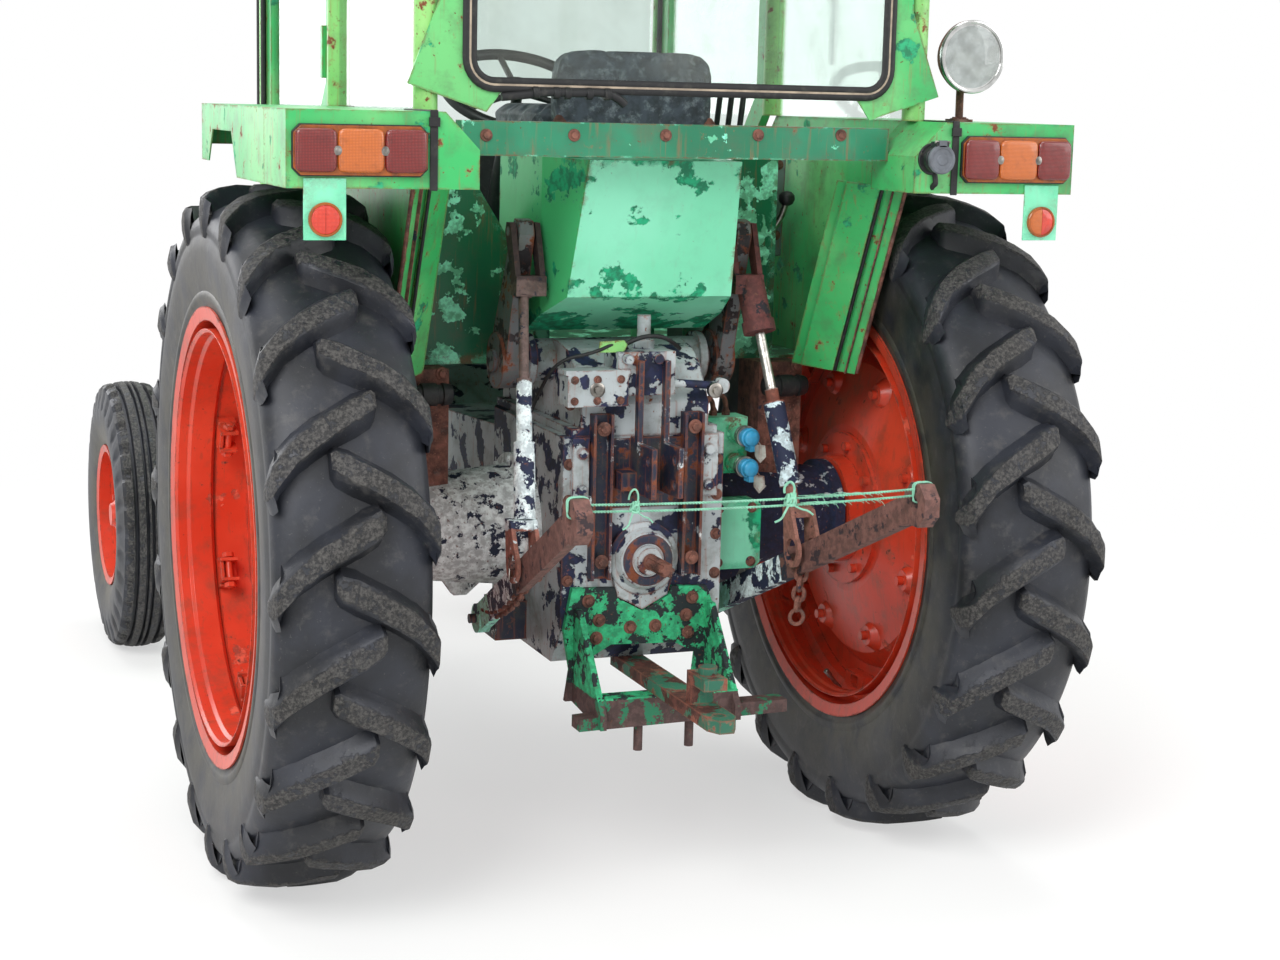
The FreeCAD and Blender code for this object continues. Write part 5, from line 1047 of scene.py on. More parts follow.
@dataclass(frozen=True)
class RearLamps:
    """Lamps, reflectors, socket and straps on the two light boxes."""

    face_y: float = -600
    middle_z: float = 1640
    half_z: float = 45
    dome: tuple = ((0, 1.0), (7, 1.0), (10.5, 0.975), (12.5, 0.88), (13.4, 0.6), (13.7, 0.25))
    spans: tuple = ((850, 770, Finish.RED_LENS), (767, 677, Finish.AMBER_LENS), (674, 592, Finish.RED_LENS))
    reflector_x: float = 790
    reflector_z: float = 1508
    strap_x: float = 574
    socket: tuple = (520, 1640)
    work_lamp_at: tuple = (700, -438, 1859)

    def cluster(self, side: Side) -> None:
        """Builds one lamp bar: its black base, amber rim, three lenses and their screws."""
        s, y = side.value, self.face_y
        outline = [(s * x, z) for x, z in ((855, 1605), (855, 1675), (840, 1690), (602, 1690), (587, 1675),
                                           (587, 1605), (602, 1590), (840, 1590))]
        Form().plate(outline, "Y", y - 9, y).piece(f"lamp_base_{side.word}", Finish.BLACK_PLASTIC, 1.5)
        rim = [(s * (721 + (abs(x) - 721) * 0.985), self.middle_z + (z - self.middle_z) * 0.95) for x, z in outline]
        Form().plate(rim, "Y", y - 13, y - 8).piece(f"lamp_rim_{side.word}", Finish.LENS_RIM, 1.5)
        for count, (outer, inner, finish) in enumerate(self.spans):
            form = Form()
            middle, half = (outer + inner) / 2, (outer - inner) / 2 + 0.8
            tall = self.half_z - 3
            form.loft([[Vector((s * (middle + px * half * share), y - 8 - depth, self.middle_z + pz * tall * share))
                        for px, pz in bulged(32, 0.28)] for depth, share in self.dome])
            form.piece(f"lens_{count}_{side.word}", finish, sharp=60,
                       stands_for=("tail_lamps",) if side is Side.LEFT and count == 0 else ())
        screws = Form()
        z = self.middle_z
        for x in (s * 768.5, s * 675.5):
            screws.turned((x, y - 19, z), (x, y - 22, z), ((0, 9), (1.2, 9), (1.8, 7.4), (1.8, 0)), 24)
            screws.turned((x, y - 20.5, z), (x, y - 25, z), ((0, 5), (1, 5), (1.5, 4), (1.5, 0)), 16)
        screws.piece(f"lamp_screws_{side.word}", Finish.BARE_STEEL)

    def reflector(self, side: Side) -> None:
        """Builds the round reflector on its painted plate."""
        s, y, x, z = side.value, self.face_y, self.reflector_x, self.reflector_z
        outline = [(s * (x - 42), z - 40), (s * (x + 42), z - 40), (s * (x + 42), z + 79), (s * (x - 42), z + 79)]
        Form().plate(outline, "Y", y - 3, y).piece(f"reflector_plate_{side.word}", Finish.MINT, 1)
        ring = ((0, 33), (8, 33), (9.5, 31.5), (9.5, 28.5), (6.5, 28))
        Form().turned((s * x, y - 2, z), (s * x, y - 20, z), ring, 48).piece(
            f"reflector_ring_{side.word}", Finish.LENS_RIM)
        for half, turn in enumerate((0, math.pi)):
            middle = s * x + 0.4 * (1 if not half else -1)
            angles = [turn - math.pi / 2 + math.pi * k / 20 for k in range(21)]
            form = Form()
            form.loft([[Vector((middle + radius * math.cos(a), y - depth, z + radius * math.sin(a))) for a in angles]
                       for depth, radius in ((8, 28.4), (10, 28), (11.6, 24), (12, 12))])
            amber = side is Side.RIGHT and half == 1
            form.piece(f"reflector_{half}_{side.word}", Finish.AMBER_LENS if amber else Finish.CAT_EYE,
                       sharp=50)

    def strap(self, side: Side) -> None:
        """Builds the cable strap round the light box at its seam, with its buckle."""
        x, y = side.value * self.strap_x, self.face_y
        form = Form()
        form.box((x - 8, y - 3.5, 1564), (x + 8, y - 0.2, 1719))
        form.box((x - 8, y - 3, 1716.8), (x + 8, -404, 1720))
        form.box((x - 11, y - 8, 1688), (x + 11, y - 2, 1706))
        form.piece(f"cable_strap_{side.word}", Finish.BLACK_RUBBER, 1.2)

    def trailer_socket(self) -> None:
        """Builds the trailer socket: shell with ribs, flange with screws, spring lid and its hinge."""
        (x, z), y = self.socket, self.face_y
        form = Form()
        form.turned((x, y, z), (x, y - 60, z), (
            (0, 34), (5, 34), (6.5, 32.5), (6.5, 28), (24, 28), (25, 29.5), (29, 29.5), (30, 28), (39, 28), (40, 27),
            (40, 0)), 48)
        form.box((x - 15, y - 46, z + 24), (x + 15, y - 20, z + 37))
        form.piece("socket_shell", Finish.BLACK_PLASTIC, 1, stands_for=("trailer_socket",))
        form = Form().turned((x, y - 39.5, z), (x, y - 60, z), (
            (0, 31), (5.5, 31), (8, 29), (8, 24), (6.5, 22), (6.5, 13), (8.4, 11), (8.4, 0)), 48)
        form.box((x - 9, y - 47.5, z + 26), (x + 9, y - 41, z + 40))
        form.piece("socket_lid", Finish.GREY_PLASTIC)
        form = Form().rod((x - 18, y - 42, z + 36), (x + 18, y - 42, z + 36), 3.2, 16)
        for turn in (40, 160, 280):
            a = math.radians(turn)
            px, pz = x + 31 * math.cos(a) * 0.98, z + 31 * math.sin(a) * 0.98
            form.turned((px, y - 5.8, pz), (px, y - 9, pz), ((0, 3.4), (1.6, 3.2), (2.2, 0)), 12)
        form.piece("socket_screws", Finish.BARE_STEEL)
        Form().tube([(x + 5, y - 2, z - 25), (x + 8, y - 10, z - 52), (x + 4, y - 3, 1585), (x + 2, y + 20, 1562),
                     (x + 2, y + 60, 1566)], 6).piece("socket_cable", Finish.BLACK_RUBBER)

    def work_lamp(self) -> None:
        """Builds the round work lamp: rusty bowl and stem, bright bezel, reflector, bulb and fluted glass."""
        x, front, z = self.work_lamp_at
        bowl = Form().turned((x, front + 6, z), (x, front + 138, z), (
            (0, 74), (0, 78), (10, 79.5), (32, 70), (52, 52), (68, 32), (74, 22), (74, 0)), 48)
        bowl.tube([(x, -384, z - 66), (x, -384, 1760), (x, -385, 1717)], 9)
        bowl.box((x - 22, -408, 1716.5), (x + 22, -362, 1723))
        bowl.piece("work_lamp_bowl", Finish.RUSTY, stands_for=("work_lamp",))
        for name, finish, start, end, steps, profile in (
                ("bezel", Finish.CHROME, 9, -20, 64, ((0, 79.5), (5, 79.8), (8.5, 78), (9, 75), (7, 71), (2, 70),
                                                      (0, 71.5))),
                ("reflector", Finish.CHROME, 5, 78, 48, ((0, 71), (8, 66), (22, 54), (36, 37), (44, 20), (46, 12),
                                                         (48, 0))),
                ("bulb", Finish.LAMP_GLASS, 51, 0, 20, ((0, 8), (17, 8), (19, 6), (33, 6.5), (39, 4), (40, 0))),
                ("glass", Finish.LAMP_GLASS, 6, -20, 48, ((0, 71.5), (1.5, 66), (3.5, 45), (4.6, 20), (5, 0)))):
            Form().turned((x, front + start, z), (x, front + end, z), profile, steps).piece(
                f"work_lamp_{name}", finish)
        screw = Form().bolt((x + 12, -386, 1722), UP, 10).bolt((x - 12, -386, 1722), UP, 10)
        screw.piece("work_lamp_bolts", Finish.RUSTY)

    def build(self) -> None:
        """Builds everything on the light boxes."""
        for side in Side:
            self.cluster(side)
            self.reflector(side)
            self.strap(side)
        self.trailer_socket()
        self.work_lamp()


@dataclass(frozen=True)
class RearWindow:
    """The rear window's rubber gasket with its beige filler strip, partly a real strip and partly a painted highlight
    along the gasket, and the taped wiring below it.
    """

    half_x: float = 468
    low: float = 1772
    high: float = 2358
    corner: float = 52
    y: float = -479

    def loop(self, grow: float) -> list[tuple[float, float]]:
        """The window's outline with rounded corners.

        Args:
            grow: Millimetres it is made larger by.

        Returns:
            Pairs of X and Z.
        """
        points = []
        radius = self.corner + grow
        x, low, high = self.half_x + grow, self.low - grow, self.high + grow
        for cx, cz, start in ((x - radius, high - radius, 0), (radius - x, high - radius, 1),
                              (radius - x, low + radius, 2), (x - radius, low + radius, 3)):
            for k in range(9):
                a = math.pi / 2 * (start + k / 8)
                points.append((cx + radius * math.cos(a), cz + radius * math.sin(a)))
        return points

    def strip(self, section: tuple, name: str, finish: Finish) -> None:
        """Builds one strip of the gasket round the window.

        Args:
            section: Its corners, as pairs of growth and distance behind the sheet.
            name: The piece's name.
            finish: Its finish.
        """
        form = Form()
        loops = [[Vector((x, self.y - behind, z)) for x, z in self.loop(grow)] for grow, behind in section]
        form.loft(list(zip(*loops)), loop=True)
        form.piece(name, finish, sharp=50)

    def build(self) -> None:
        """Builds the gasket, its filler strip with its painted highlight, and the wiring."""
        self.strip(((-14, 0.5), (-15, 5), (-11, 9), (-3, 9.5), (0, 6.5), (3, 9.5), (11, 9), (15, 5), (14, 0.5)),
                   "window_gasket", Finish.BLACK_RUBBER)
        # The beige filler stands partly for the light line along the gasket: painted highlight.
        self.strip(((-2.5, 6), (-2.5, 8.6), (2.5, 8.6), (2.5, 6)), "window_filler_and_highlight", Finish.FILLER_AND_HIGHLIGHT)
        form = Form()
        form.tube([(-400, -482, 1748), (-340, -487, 1754), (-297, -489, 1761), (-240, -489, 1758), (-190, -488, 1763),
                   (-150, -486, 1752), (-135, -482, 1738)], 9)
        for x in (-330, -286, -262, -215, -176):
            form.turned((x - 7, -488, 1758), (x + 7, -488, 1758), ((0, 11), (2, 12.5), (12, 12.5), (14, 11)), 16)
        form.piece("taped_wiring", Finish.BLACK_RUBBER)
        screws = Form().bolts(((-429, 1671), (-241, 1674), (-39, 1677), (171, 1681), (365, 1684)), -475, 13)
        screws.piece("beam_screws", Finish.RUSTY, 0.6)


@dataclass(frozen=True)
class DriverSeat:
    """The driver's seat: a crowned cushion and a back pad in vinyl, on a worn canvas pan."""

    cushion: tuple = ((-212, -134, 1640), (212, 292, 1722))
    back: tuple = ((-192, -196, 1650), (192, -144, 1862))
    seam_half: float = 9
    seam_deep: float = 0.0045

    def pad(self, name: str, low: tuple, high: tuple, cap_mm: float, seams: tuple) -> None:
        """Builds one pad, swells it as stuffed vinyl and presses its seams in.

        Args:
            name: The piece's name.
            low: Its lowest corner before it swells.
            high: Its highest corner.
            cap_mm: The most that a point may move.
            seams: Places across the seat where a sewn channel runs.
        """
        form = Form()
        middle = [(a + b) / 2 for a, b in zip(low, high)]
        half = [(b - a) / 2 for a, b in zip(low, high)]
        upright = half[1] < half[2]
        rings = []
        for level in (-1, -0.8, -0.3, 0.3, 0.8, 1):
            waist = 1 - 0.05 * (1 - abs(level)) if abs(level) < 1 else 0.93
            ring = []
            for u, v in bulged(40, 0.42):
                p = Vector((u * waist, v * waist, level))
                share = (p.x, p.z, p.y) if upright else (p.x, p.y, p.z)
                ring.append(Vector([m + h * q for m, h, q in zip(middle, half, share)]))
            rings.append(ring)
        form.loft(rings)
        item = form.piece(name, Finish.VINYL, sharp=180)
        voxel = item.modifiers.new("even mesh", "REMESH")
        voxel.mode, voxel.voxel_size, voxel.use_smooth_shade = "VOXEL", 0.0055, True
        self.apply(item)
        self.swell(item, cap_mm * MM)
        for vert in item.data.vertices:
            x = vert.co.x / MM
            for seam in seams:
                near = abs(x - seam)
                if near < self.seam_half:
                    towards = Vector([m * MM for m in middle]) + Vector((0, REAR_AXLE_Y, 0)) - vert.co
                    towards.x = 0
                    vert.co += towards.normalized() * self.seam_deep * math.cos(near / self.seam_half * math.pi / 2)
        item.modifiers.new("smooth", "SUBSURF").levels = 1
        item.modifiers["smooth"].render_levels = 1

    @staticmethod
    def apply(item: bpy.types.Object) -> None:
        """Turns what the piece's modifiers make into its mesh."""
        graph = bpy.context.evaluated_depsgraph_get()
        mesh = bpy.data.meshes.new_from_object(item.evaluated_get(graph))
        item.modifiers.clear()
        old, item.data = item.data, mesh
        bpy.data.meshes.remove(old)

    def swell(self, item: bpy.types.Object, cap: float) -> None:
        """Blows a pad up as cloth, no point further than a cap.

        Args:
            item: The pad.
            cap: The cap in metres.
        """
        start = [v.co.copy() for v in item.data.vertices]
        cloth = item.modifiers.new("cloth", "CLOTH")
        cloth.settings.quality = 5
        cloth.settings.use_pressure = True
        cloth.settings.uniform_pressure_force = 4
        cloth.settings.effector_weights.gravity = 0
        for step in range(1, 21):
            bpy.context.scene.frame_set(step)
        self.apply(item)
        bpy.context.scene.frame_set(1)
        for vert, old in zip(item.data.vertices, start):
            moved = vert.co - old
            if moved.length > cap:
                vert.co = old + moved.normalized() * cap

    def build(self) -> None:
        """Builds the pan and both pads."""
        Form().box((-196, -120, 1622), (196, 280, 1646)).piece("seat_pan", Finish.BLACK_PLASTIC, 5)
        form = Form()
        form.loft([[Vector((x, y, z)) for x, y in ((i - 188, j - 200), (188 - i, j - 200), (188 - i, -186),
                                                   (i - 188, -186))]
                   for z, i, j in ((1624, 6, 2), (1636, 0, 0), (1700, -2, 0), (1712, 6, 4))])
        form.piece("seat_canvas", Finish.WORN_BROWN, 3)
        self.pad("seat_cushion", *self.cushion, cap_mm=12, seams=(-75, 75))
        self.pad("seat_backrest", *self.back, cap_mm=8, seams=(-64, 64))
        for name in ("seat_cushion", "seat_backrest"):
            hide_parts("seat")


@dataclass(frozen=True)
class Linkage:
    """What hangs on the hitch: twine, chains, couplers, hoses, bolts and the splined shaft."""

    end_x: float = 353
    eye_x: float = 370
    end_y: float = -900
    strand_z: tuple = (985, 971)
    ply: float = 1.5
    lay_mm: float = 13.0
    knots: tuple = ((75, 1.0), (-254, 0.75))
    fray_from: float = 92
    coupler: tuple = (268, -248)

    def strand(self, name: str, start: Vector, end: Vector, sag: float) -> None:
        """Twists one strand of two-ply twine between two places.

        Args:
            name: The piece's name.
            start: Where it starts.
            end: Where it ends.
            sag: How far its middle hangs.
        """
        form = Form()
        run = end - start
        count = int(run.length / self.lay_mm * 8)
        ahead = run.normalized()
        side = ahead.orthogonal().normalized()
        up = ahead.cross(side)
        for ply in range(2):
            rings = []
            for k in range(count + 1):
                share = k / count
                turn = math.pi * ply + math.tau * share * run.length / self.lay_mm
                spot = start + run * share - Vector((0, 0, sag * 4 * share * (1 - share)))
                spot = spot + self.ply * 0.95 * (side * math.cos(turn) + up * math.sin(turn))
                rings.append([spot + self.ply * (side * c + up * s) for c, s in circle(6)])
            form.loft(rings)
        form.piece(name, Finish.TWINE, body="lower_links")

    def twine(self) -> None:
        """Ties the twine between the links, with its knots, wraps and frayed tails."""
        for count, z in enumerate(self.strand_z):
            y = self.end_y + 4 * count
            self.strand(f"twine_strand_{count}", Vector((-self.end_x, y, z)), Vector((self.end_x, y + 1, z + 2)), 7)
        form = Form()
        for side in Side:
            x = side.value * self.eye_x
            for lean in (-4, 3):
                one, two = self.end_y + lean, self.end_y - lean
                form.tube([(x, one, 1001), (x - 21, one, 1003), (x - 21, one, 980), (x - 20, two, 960), (x, two, 961),
                           (x + 20, two, 960), (x + 21, one, 980), (x + 21, one, 1003), (x, one, 1001)], 1.8, 8)
        form.piece("twine_wraps", Finish.TWINE, body="lower_links")
        for count, (x, large) in enumerate(self.knots):
            self.knot(count, x, large)
        self.frays()

    def knot(self, count: int, x: float, large: float) -> None:
        """Ties one overhand knot round both strands, with two thick tails.

        Args:
            count: The knot's number.
            x: Where it sits across.
            large: Its size against the larger knot.
        """
        form = Form()
        for turn in range(3):
            angles = [math.tau * k / 12 + turn for k in range(13)]
            wide = (7 + 1.6 * turn) * large
            form.tube([(x + (turn - 1) * 6.5 * large + 3 * math.sin(a), self.end_y + wide * math.cos(a) * 0.8,
                        978 + (wide + 3) * math.sin(a)) for a in angles], 2.8 * large, 8)
        for thick, path in (
                (3.0, ((x - 8 * large, -906, 974), (x - 2, -909, 984), (x + 9 * large, -907, 980),
                       (x + 12 * large, -903, 969), (x, -908, 966), (x - 10 * large, -906, 970))),
                (2.6, ((x + 4, -905, 984), (x + 8 * large, -909, 996 + 6 * large),
                       (x - 3 * large, -908, 1010 + 8 * large), (x - 16 * large, -903, 1005), (x - 12, -900, 992))),
                (2.4, ((x - 4, -905, 968), (x - 13 * large, -908, 955), (x - 19 * large, -904, 938),
                       (x - 32 * large, -902, 934))),
                (2.0, ((x + 5, -904, 968), (x + 22 * large, -907, 958), (x + 40 * large, -902, 955),
                       (x + 52 * large, -900, 945)))):
            form.tube(path, thick * large, 8)
        form.piece(f"twine_knot_{count}", Finish.TWINE, body="lower_links")

    def frays(self) -> None:
        """Adds the loose fibres that stand off the twine to the right of the large knot."""
        form = Form()
        for k in range(26):
            x = self.fray_from + k * 6.4
            lift = 6 * noise.noise(Vector((k * 1.7, 3, 1)))
            drop = 13 * noise.noise(Vector((k * 2.3, 8, 4)))
            z = self.strand_z[k % 2] - 4
            form.tube([(x, -899.5, z + 4), (x + 12, -905 + lift * 0.5, z + 5 + lift), (x + 26, -906, z + 3 + drop),
                       (x + 36 + drop, -903, z - 4 + drop * 1.6)], 0.5, 5)
        form.piece("twine_frays", Finish.TWINE, body="lower_links")

    def chain(self, name: str, start: tuple, end: tuple, sag: float, links: int, wire: float) -> None:
        """Hangs a chain of welded oval links between two places.

        Args:
            name: The piece's name.
            start: Where it starts.
            end: Where it ends.
            sag: How far its middle hangs.
            links: How many links it has.
            wire: The radius of a link's wire.
        """
        form = Form()
        start, end = Vector(start), Vector(end)
        spots_on = [start.lerp(end, k / links) - Vector((0, 0, sag * 4 * (k / links) * (1 - k / links)))
                    for k in range(links + 1)]
        for k, (one, two) in enumerate(zip(spots_on, spots_on[1:])):
            ahead = (two - one).normalized()
            side = ahead.cross(Vector((0.2, 0.1, 1))).normalized()
            if k % 2:
                side = ahead.cross(side)
            half = (two - one).length / 2 + wire * 1.6
            wide = wire * 2.3
            middle = (one + two) / 2
            over = ahead.cross(side)
            rings = []
            for (c, s), (pressed, _) in zip(circle(20), bulged(20, 0.7)):
                spot = middle + ahead * (half - wire) * pressed + side * wide * s
                out = (ahead * c + side * s).normalized()
                rings.append([spot + wire * (out * i + over * j) for i, j in circle(8)])
            form.loft(rings, loop=True)
        form.piece(name, Finish.RUSTY, body="lower_links")

    def couplers(self) -> None:
        """Adds the couplers' dust caps, their cords' tags and the bolts of their bracket."""
        caps, tags, rings = Form(), Form(), Form()
        x, y = self.coupler
        for z in (1000, 930):
            caps.turned((x, y, z), (x, y - 52, z), (
                (0, 20), (16, 20.5), (18, 22.5), (24, 22.5), (26, 19), (34, 17.5), (38, 12), (39, 0)), 28)
            caps.box((x - 6, y - 36, z - 30), (x + 6, y - 6, z - 17))
            rings.turned((x, y + 17, z), (x, y - 3, z), (
                (0, 21), (2, 24), (7, 24), (9, 22), (12, 22), (13, 24.5), (19, 24.5), (20, 20)), 32)
            tags.plate([(283, z - 16), (309, z - 20), (312, z - 46), (298, z - 60), (284, z - 44)], "Y", -263, -261.5)
            tags.tube([(276, -258, z - 8), (290, -266, z - 4), (297, -262, z - 19)], 1.6, 8)
        caps.piece("coupler_caps", Finish.BLUE_PLASTIC, 1)
        rings.piece("coupler_collars", Finish.BARE_STEEL)
        tags.piece("coupler_tags", Finish.ROOF_WHITE)
        bolts = Form().bolts(((296, 832), (214, 832), (214, 706), (296, 706)), -230, 12)
        bolts.piece("case_bolts", Finish.RUSTY, 0.5)
        pipes = Form()
        pipes.tube([(230, -140, 1033), (230, -142, 1062), (205, -170, 1082), (160, -230, 1070), (140, -250, 1050)], 6)
        pipes.tube([(262, -140, 1033), (262, -145, 1074), (215, -186, 1094), (168, -246, 1086), (150, -262, 1060)], 6)
        for x, y in ((230, -140), (262, -140)):
            pipes.turned((x, y, 1032), (x, y, 1052), ((0, 10.5), (12, 10.5), (14, 8), (18, 7)), 6)
        pipes.piece("oil_pipes", Finish.RUSTY)

    def power_shaft(self) -> None:
        """Cuts the six-spline shaft end with its groove, and the ring round it."""
        form = Form()
        outline = [(radius * math.cos(math.tau * k / 6 + turn), SHAFT_Z + radius * math.sin(math.tau * k / 6 + turn))
                   for k in range(6) for turn, radius in ((-0.24, 14.2), (-0.20, 17.3), (0.20, 17.3), (0.24, 14.2))]
        form.loft([[Vector((x * share, y, SHAFT_Z + (z - SHAFT_Z) * share)) for x, z in outline] for y, share in (
            (-356, 1.0), (-414, 1.0), (-416, 0.86), (-423, 0.86), (-425, 1.0), (-453, 1.0), (-456, 0.88))])
        form.turned((0, -340, SHAFT_Z), (0, -380, SHAFT_Z), ((0, 15.8), (0, 17.4), (20, 17.4), (22, 16), (22, 0)), 40)
        form.piece("splined_shaft", Finish.RUSTY, 0.5, body="pto", stands_for=("pto_shaft",))

    def bolts(self) -> None:
        """Adds the bolts that hold the drawbar plate and the rails."""
        plate_bolts = Form().bolts(((-130, 655), (-104, 610), (-110, 570), (118, 650), (104, 610), (110, 570),
                                    (178, 560), (-30, 590), (30, 590)), -314, 15)
        plate_bolts.piece("drawbar_bolts", Finish.RUSTY, 0.6)
        rail_bolts = Form().bolts([(side.value * 107, z) for side in Side for z in (1040, 745)], -330, 16)
        rail_bolts.piece("rail_bolts", Finish.RUSTY, 0.6)
        pins = Form()
        for s in (side.value for side in Side):
            tip = s * 358
            pins.tube([(tip, -450, 768), (tip + s * 3, -458, 752), (tip, -447, 742), (tip - s * 2, -438, 754),
                       (tip, -449, 790)], 2, 8)
        pins.piece("linch_pins", Finish.BARE_STEEL, body="lower_links")

    def housing(self) -> None:
        """Adds bolts, plugs, cables, a clip plate and the shaft's seal to the lift housing and the rear cover."""
        bolts = Form().bolts(((-176, 1092), (-176, 880), (-176, 960), (176, 960), (176, 880), (176, 790),
                              (-176, 790), (-176, 700), (176, 700)), -300, 13)
        bolts.bolts([(x, z) for x in (-180, -128, -74) for z in (1150, 1104)], -338, 9)
        bolts.piece("housing_bolts", Finish.RUSTY, 0.5)
        plugs = Form()
        for x, z in ((-128, 1128), (150, 1120)):
            plugs.turned((x, -326, z), (x, -356, z), ((0, 17), (14, 17), (16, 14), (16, 9), (24, 9), (25, 0)), 24)
        plugs.piece("housing_plugs", Finish.BARE_STEEL)
        cable = Form().tube([(-62, -288, 1212), (-30, -306, 1236), (20, -312, 1242), (60, -300, 1226),
                             (92, -262, 1206)], 5)
        cable.tube([(-40, -282, 1210), (-70, -312, 1232), (-128, -318, 1206), (-206, -300, 1190), (-226, -240, 1120),
                    (-214, -150, 1060)], 4)
        cable.piece("housing_cables", Finish.BLACK_RUBBER)
        plate = Form().plate([(-118, 1206), (-60, 1206), (-52, 1222), (-60, 1232), (-116, 1230)], "Y", -316, -312)
        plate.piece("cable_clip", Finish.YELLOW_GREEN, 0.6)
        hub = Form().turned((0, -333, SHAFT_Z), (0, -345, SHAFT_Z), (
            (0, 58), (6, 58), (8, 54), (8, 40), (3, 36), (0, 36)), 40)
        hub.piece("shaft_seal", Finish.NAVY)

    def build(self) -> None:
        """Builds everything that hangs on the hitch."""
        self.housing()
        self.twine()
        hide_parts("link_twine")
        self.couplers()
        self.power_shaft()
        self.bolts()
        self.chain("check_chain", (-322, -440, 722), (-290, -70, 590), sag=26, links=17, wire=4.2)
        self.chain("hanging_chain", (322, -452, 732), (316, -446, 640), sag=0, links=4, wire=5.2)
        ring = Form().tube([(316 + 17 * c, -446, 622 + 17 * s) for c, s in circle(12, ends=True)], 4.5, 10)
        ring.piece("chain_ring", Finish.RUSTY, body="lower_links")


@dataclass(frozen=True)
class Bodywork:
    """Seams, rubbers, knobs and rods of the cab and fenders."""

    eave_x: float = 575
    eave_z: float = 2392
    post_low: float = 1560
    post_high: float = 2385

    def seals(self, side: Side) -> None:
        """Lays a black rod along the fender panel's step as painted shadow in the gap there, and the mount's rubber
        under it.
        """
        s = side.value
        # Painted shadow: a black rod put in the gap at the panel's step.
        form = Form().rod((s * 518, -384, 1570), (s * 518, -180, 1138), 4, 10)
        form.piece(f"panel_gap_shadow_{side.word}", Finish.BLACK_RUBBER)
        edge = Form().rod((s * 562, -409, 1566), (s * 562, -205, 1134), 4.5, 10)
        edge.piece(f"panel_edge_{side.word}", Finish.RUSTY)
        self.strips(side)
        mount = Form().turned((s * 382, -86, 1092), (s * 488, -86, 1092), (
            (0, 0), (0, 21), (4, 23), (22, 26), (24, 22), (34, 22), (36, 26), (70, 26), (72, 22), (82, 22), (84, 26),
            (102, 23), (106, 20), (106, 0)), 32)
        mount.piece(f"mount_rubber_{side.word}", Finish.BLACK_RUBBER)
        bolts = Form().bolts(((s * 396, 1135), (s * 474, 1135)), -60, 15)
        bolts.piece(f"mount_bolts_{side.word}", Finish.RUSTY, 0.5)

    def strips(self, side: Side) -> None:
        """Lays the pressed strips of the inner fender panel: a rusty one, and one of bleached enamel."""
        s = side.value
        along = Vector((0, 204, -435))
        for name, finish, start, wide, proud in (
                ("rust", Finish.RUSTY, Vector((535, -396, 1567)), Vector((16, 16, 1)), 4),
                ("bleached", Finish.YELLOW_GREEN, Vector((510, -373, 1574)), Vector((34, 34.5, 5)), 6)):
            normal = along.cross(wide).normalized()
            outward = -1 if normal.y > 0 else 1
            form = Form()
            rings = []
            for lift in (0.5, proud):
                corners = [c + normal * lift * outward for c in (start, start + along, start + along + wide,
                                                                 start + wide)]
                rings.append([Vector((c.x * s, c.y, c.z)) for c in corners])
            form.loft(rings)
            form.piece(f"panel_strip_{name}_{side.word}", finish, 0.8)

    def hand_lever(self) -> None:
        """Builds the bent hand lever with its ball knob beside the seat."""
        form = Form().tube([(415, 120, 1155), (418, 118, 1300), (440, 96, 1420), (492, 84, 1470), (500, 80, 1520)], 8)
        form.piece("hand_lever", Finish.BARE_STEEL)
        knob = ((0, 9), (5, 16), (14, 20), (24, 19), (32, 12), (35, 0))
        Form().turned((500, 80, 1506), (500, 80, 1560), knob, 24).piece(
            "hand_lever_knob", Finish.BLACK_PLASTIC)

    def crank_panel(self) -> None:
        """Builds the weathered bracket plate beside the seat box, with its bolts."""
        Form().plate([(418, 1370), (522, 1380), (528, 1640), (412, 1640)], "Y", 150, 154).piece(
            "bracket_plate", Finish.ENGINE_GREY, 1)
        bolts = Form().bolts(((432, 1600), (508, 1600), (436, 1420), (506, 1430)), 150, 12)
        bolts.piece("bracket_bolts", Finish.RUSTY)

    def post_seals(self, side: Side) -> None:
        """Lays the black rubber down both faces of the front post."""
        s = side.value
        form = Form()
        for x, y in ((570, 1026), (534, 1026), (572, 1068)):
            form.rod((s * x, y, self.post_low), (s * x, y, self.post_high), 7, 10)
        form.piece(f"post_rubber_{side.word}", Finish.BLACK_RUBBER)

    def mirror(self) -> None:
        """Builds the inside mirror on its stalk under the roof."""
        form = Form().tube([(0, 1040, 2400), (0, 1000, 2352), (0, 960, 2312), (0, 926, 2290)], 6)
        form.box((-85, 912, 2262), (85, 930, 2318))
        form.piece("cab_mirror", Finish.BLACK_PLASTIC, 3)
        Form().box((-80, 910.5, 2267), (80, 913, 2313)).piece("cab_mirror_face", Finish.CHROME, 0.8)

    def wiper(self) -> None:
        """Builds the windscreen's wiper."""
        form = Form().tube([(120, 1078, 2335), (60, 1082, 2180), (10, 1082, 2020)], 4)
        form.box((2, 1071.5, 1860), (12, 1086.5, 2200))
        form.piece("wiper", Finish.BLACK_RUBBER, 1)

    def door_seals(self, side: Side) -> None:
        """Builds the rubber bead along the eave over the door."""
        x, z = side.value * self.eave_x, self.eave_z
        form = Form().rod((x, 300, z), (x, 1030, z), 6, 10)
        form.piece(f"eave_seal_{side.word}", Finish.BLACK_RUBBER)

    def build(self) -> None:
        """Builds everything on both sides and inside the cab."""
        for side in Side:
            self.seals(side)
            self.door_seals(side)
            self.post_seals(side)
        self.hand_lever()
        self.crank_panel()
        self.mirror()
        self.wiper()


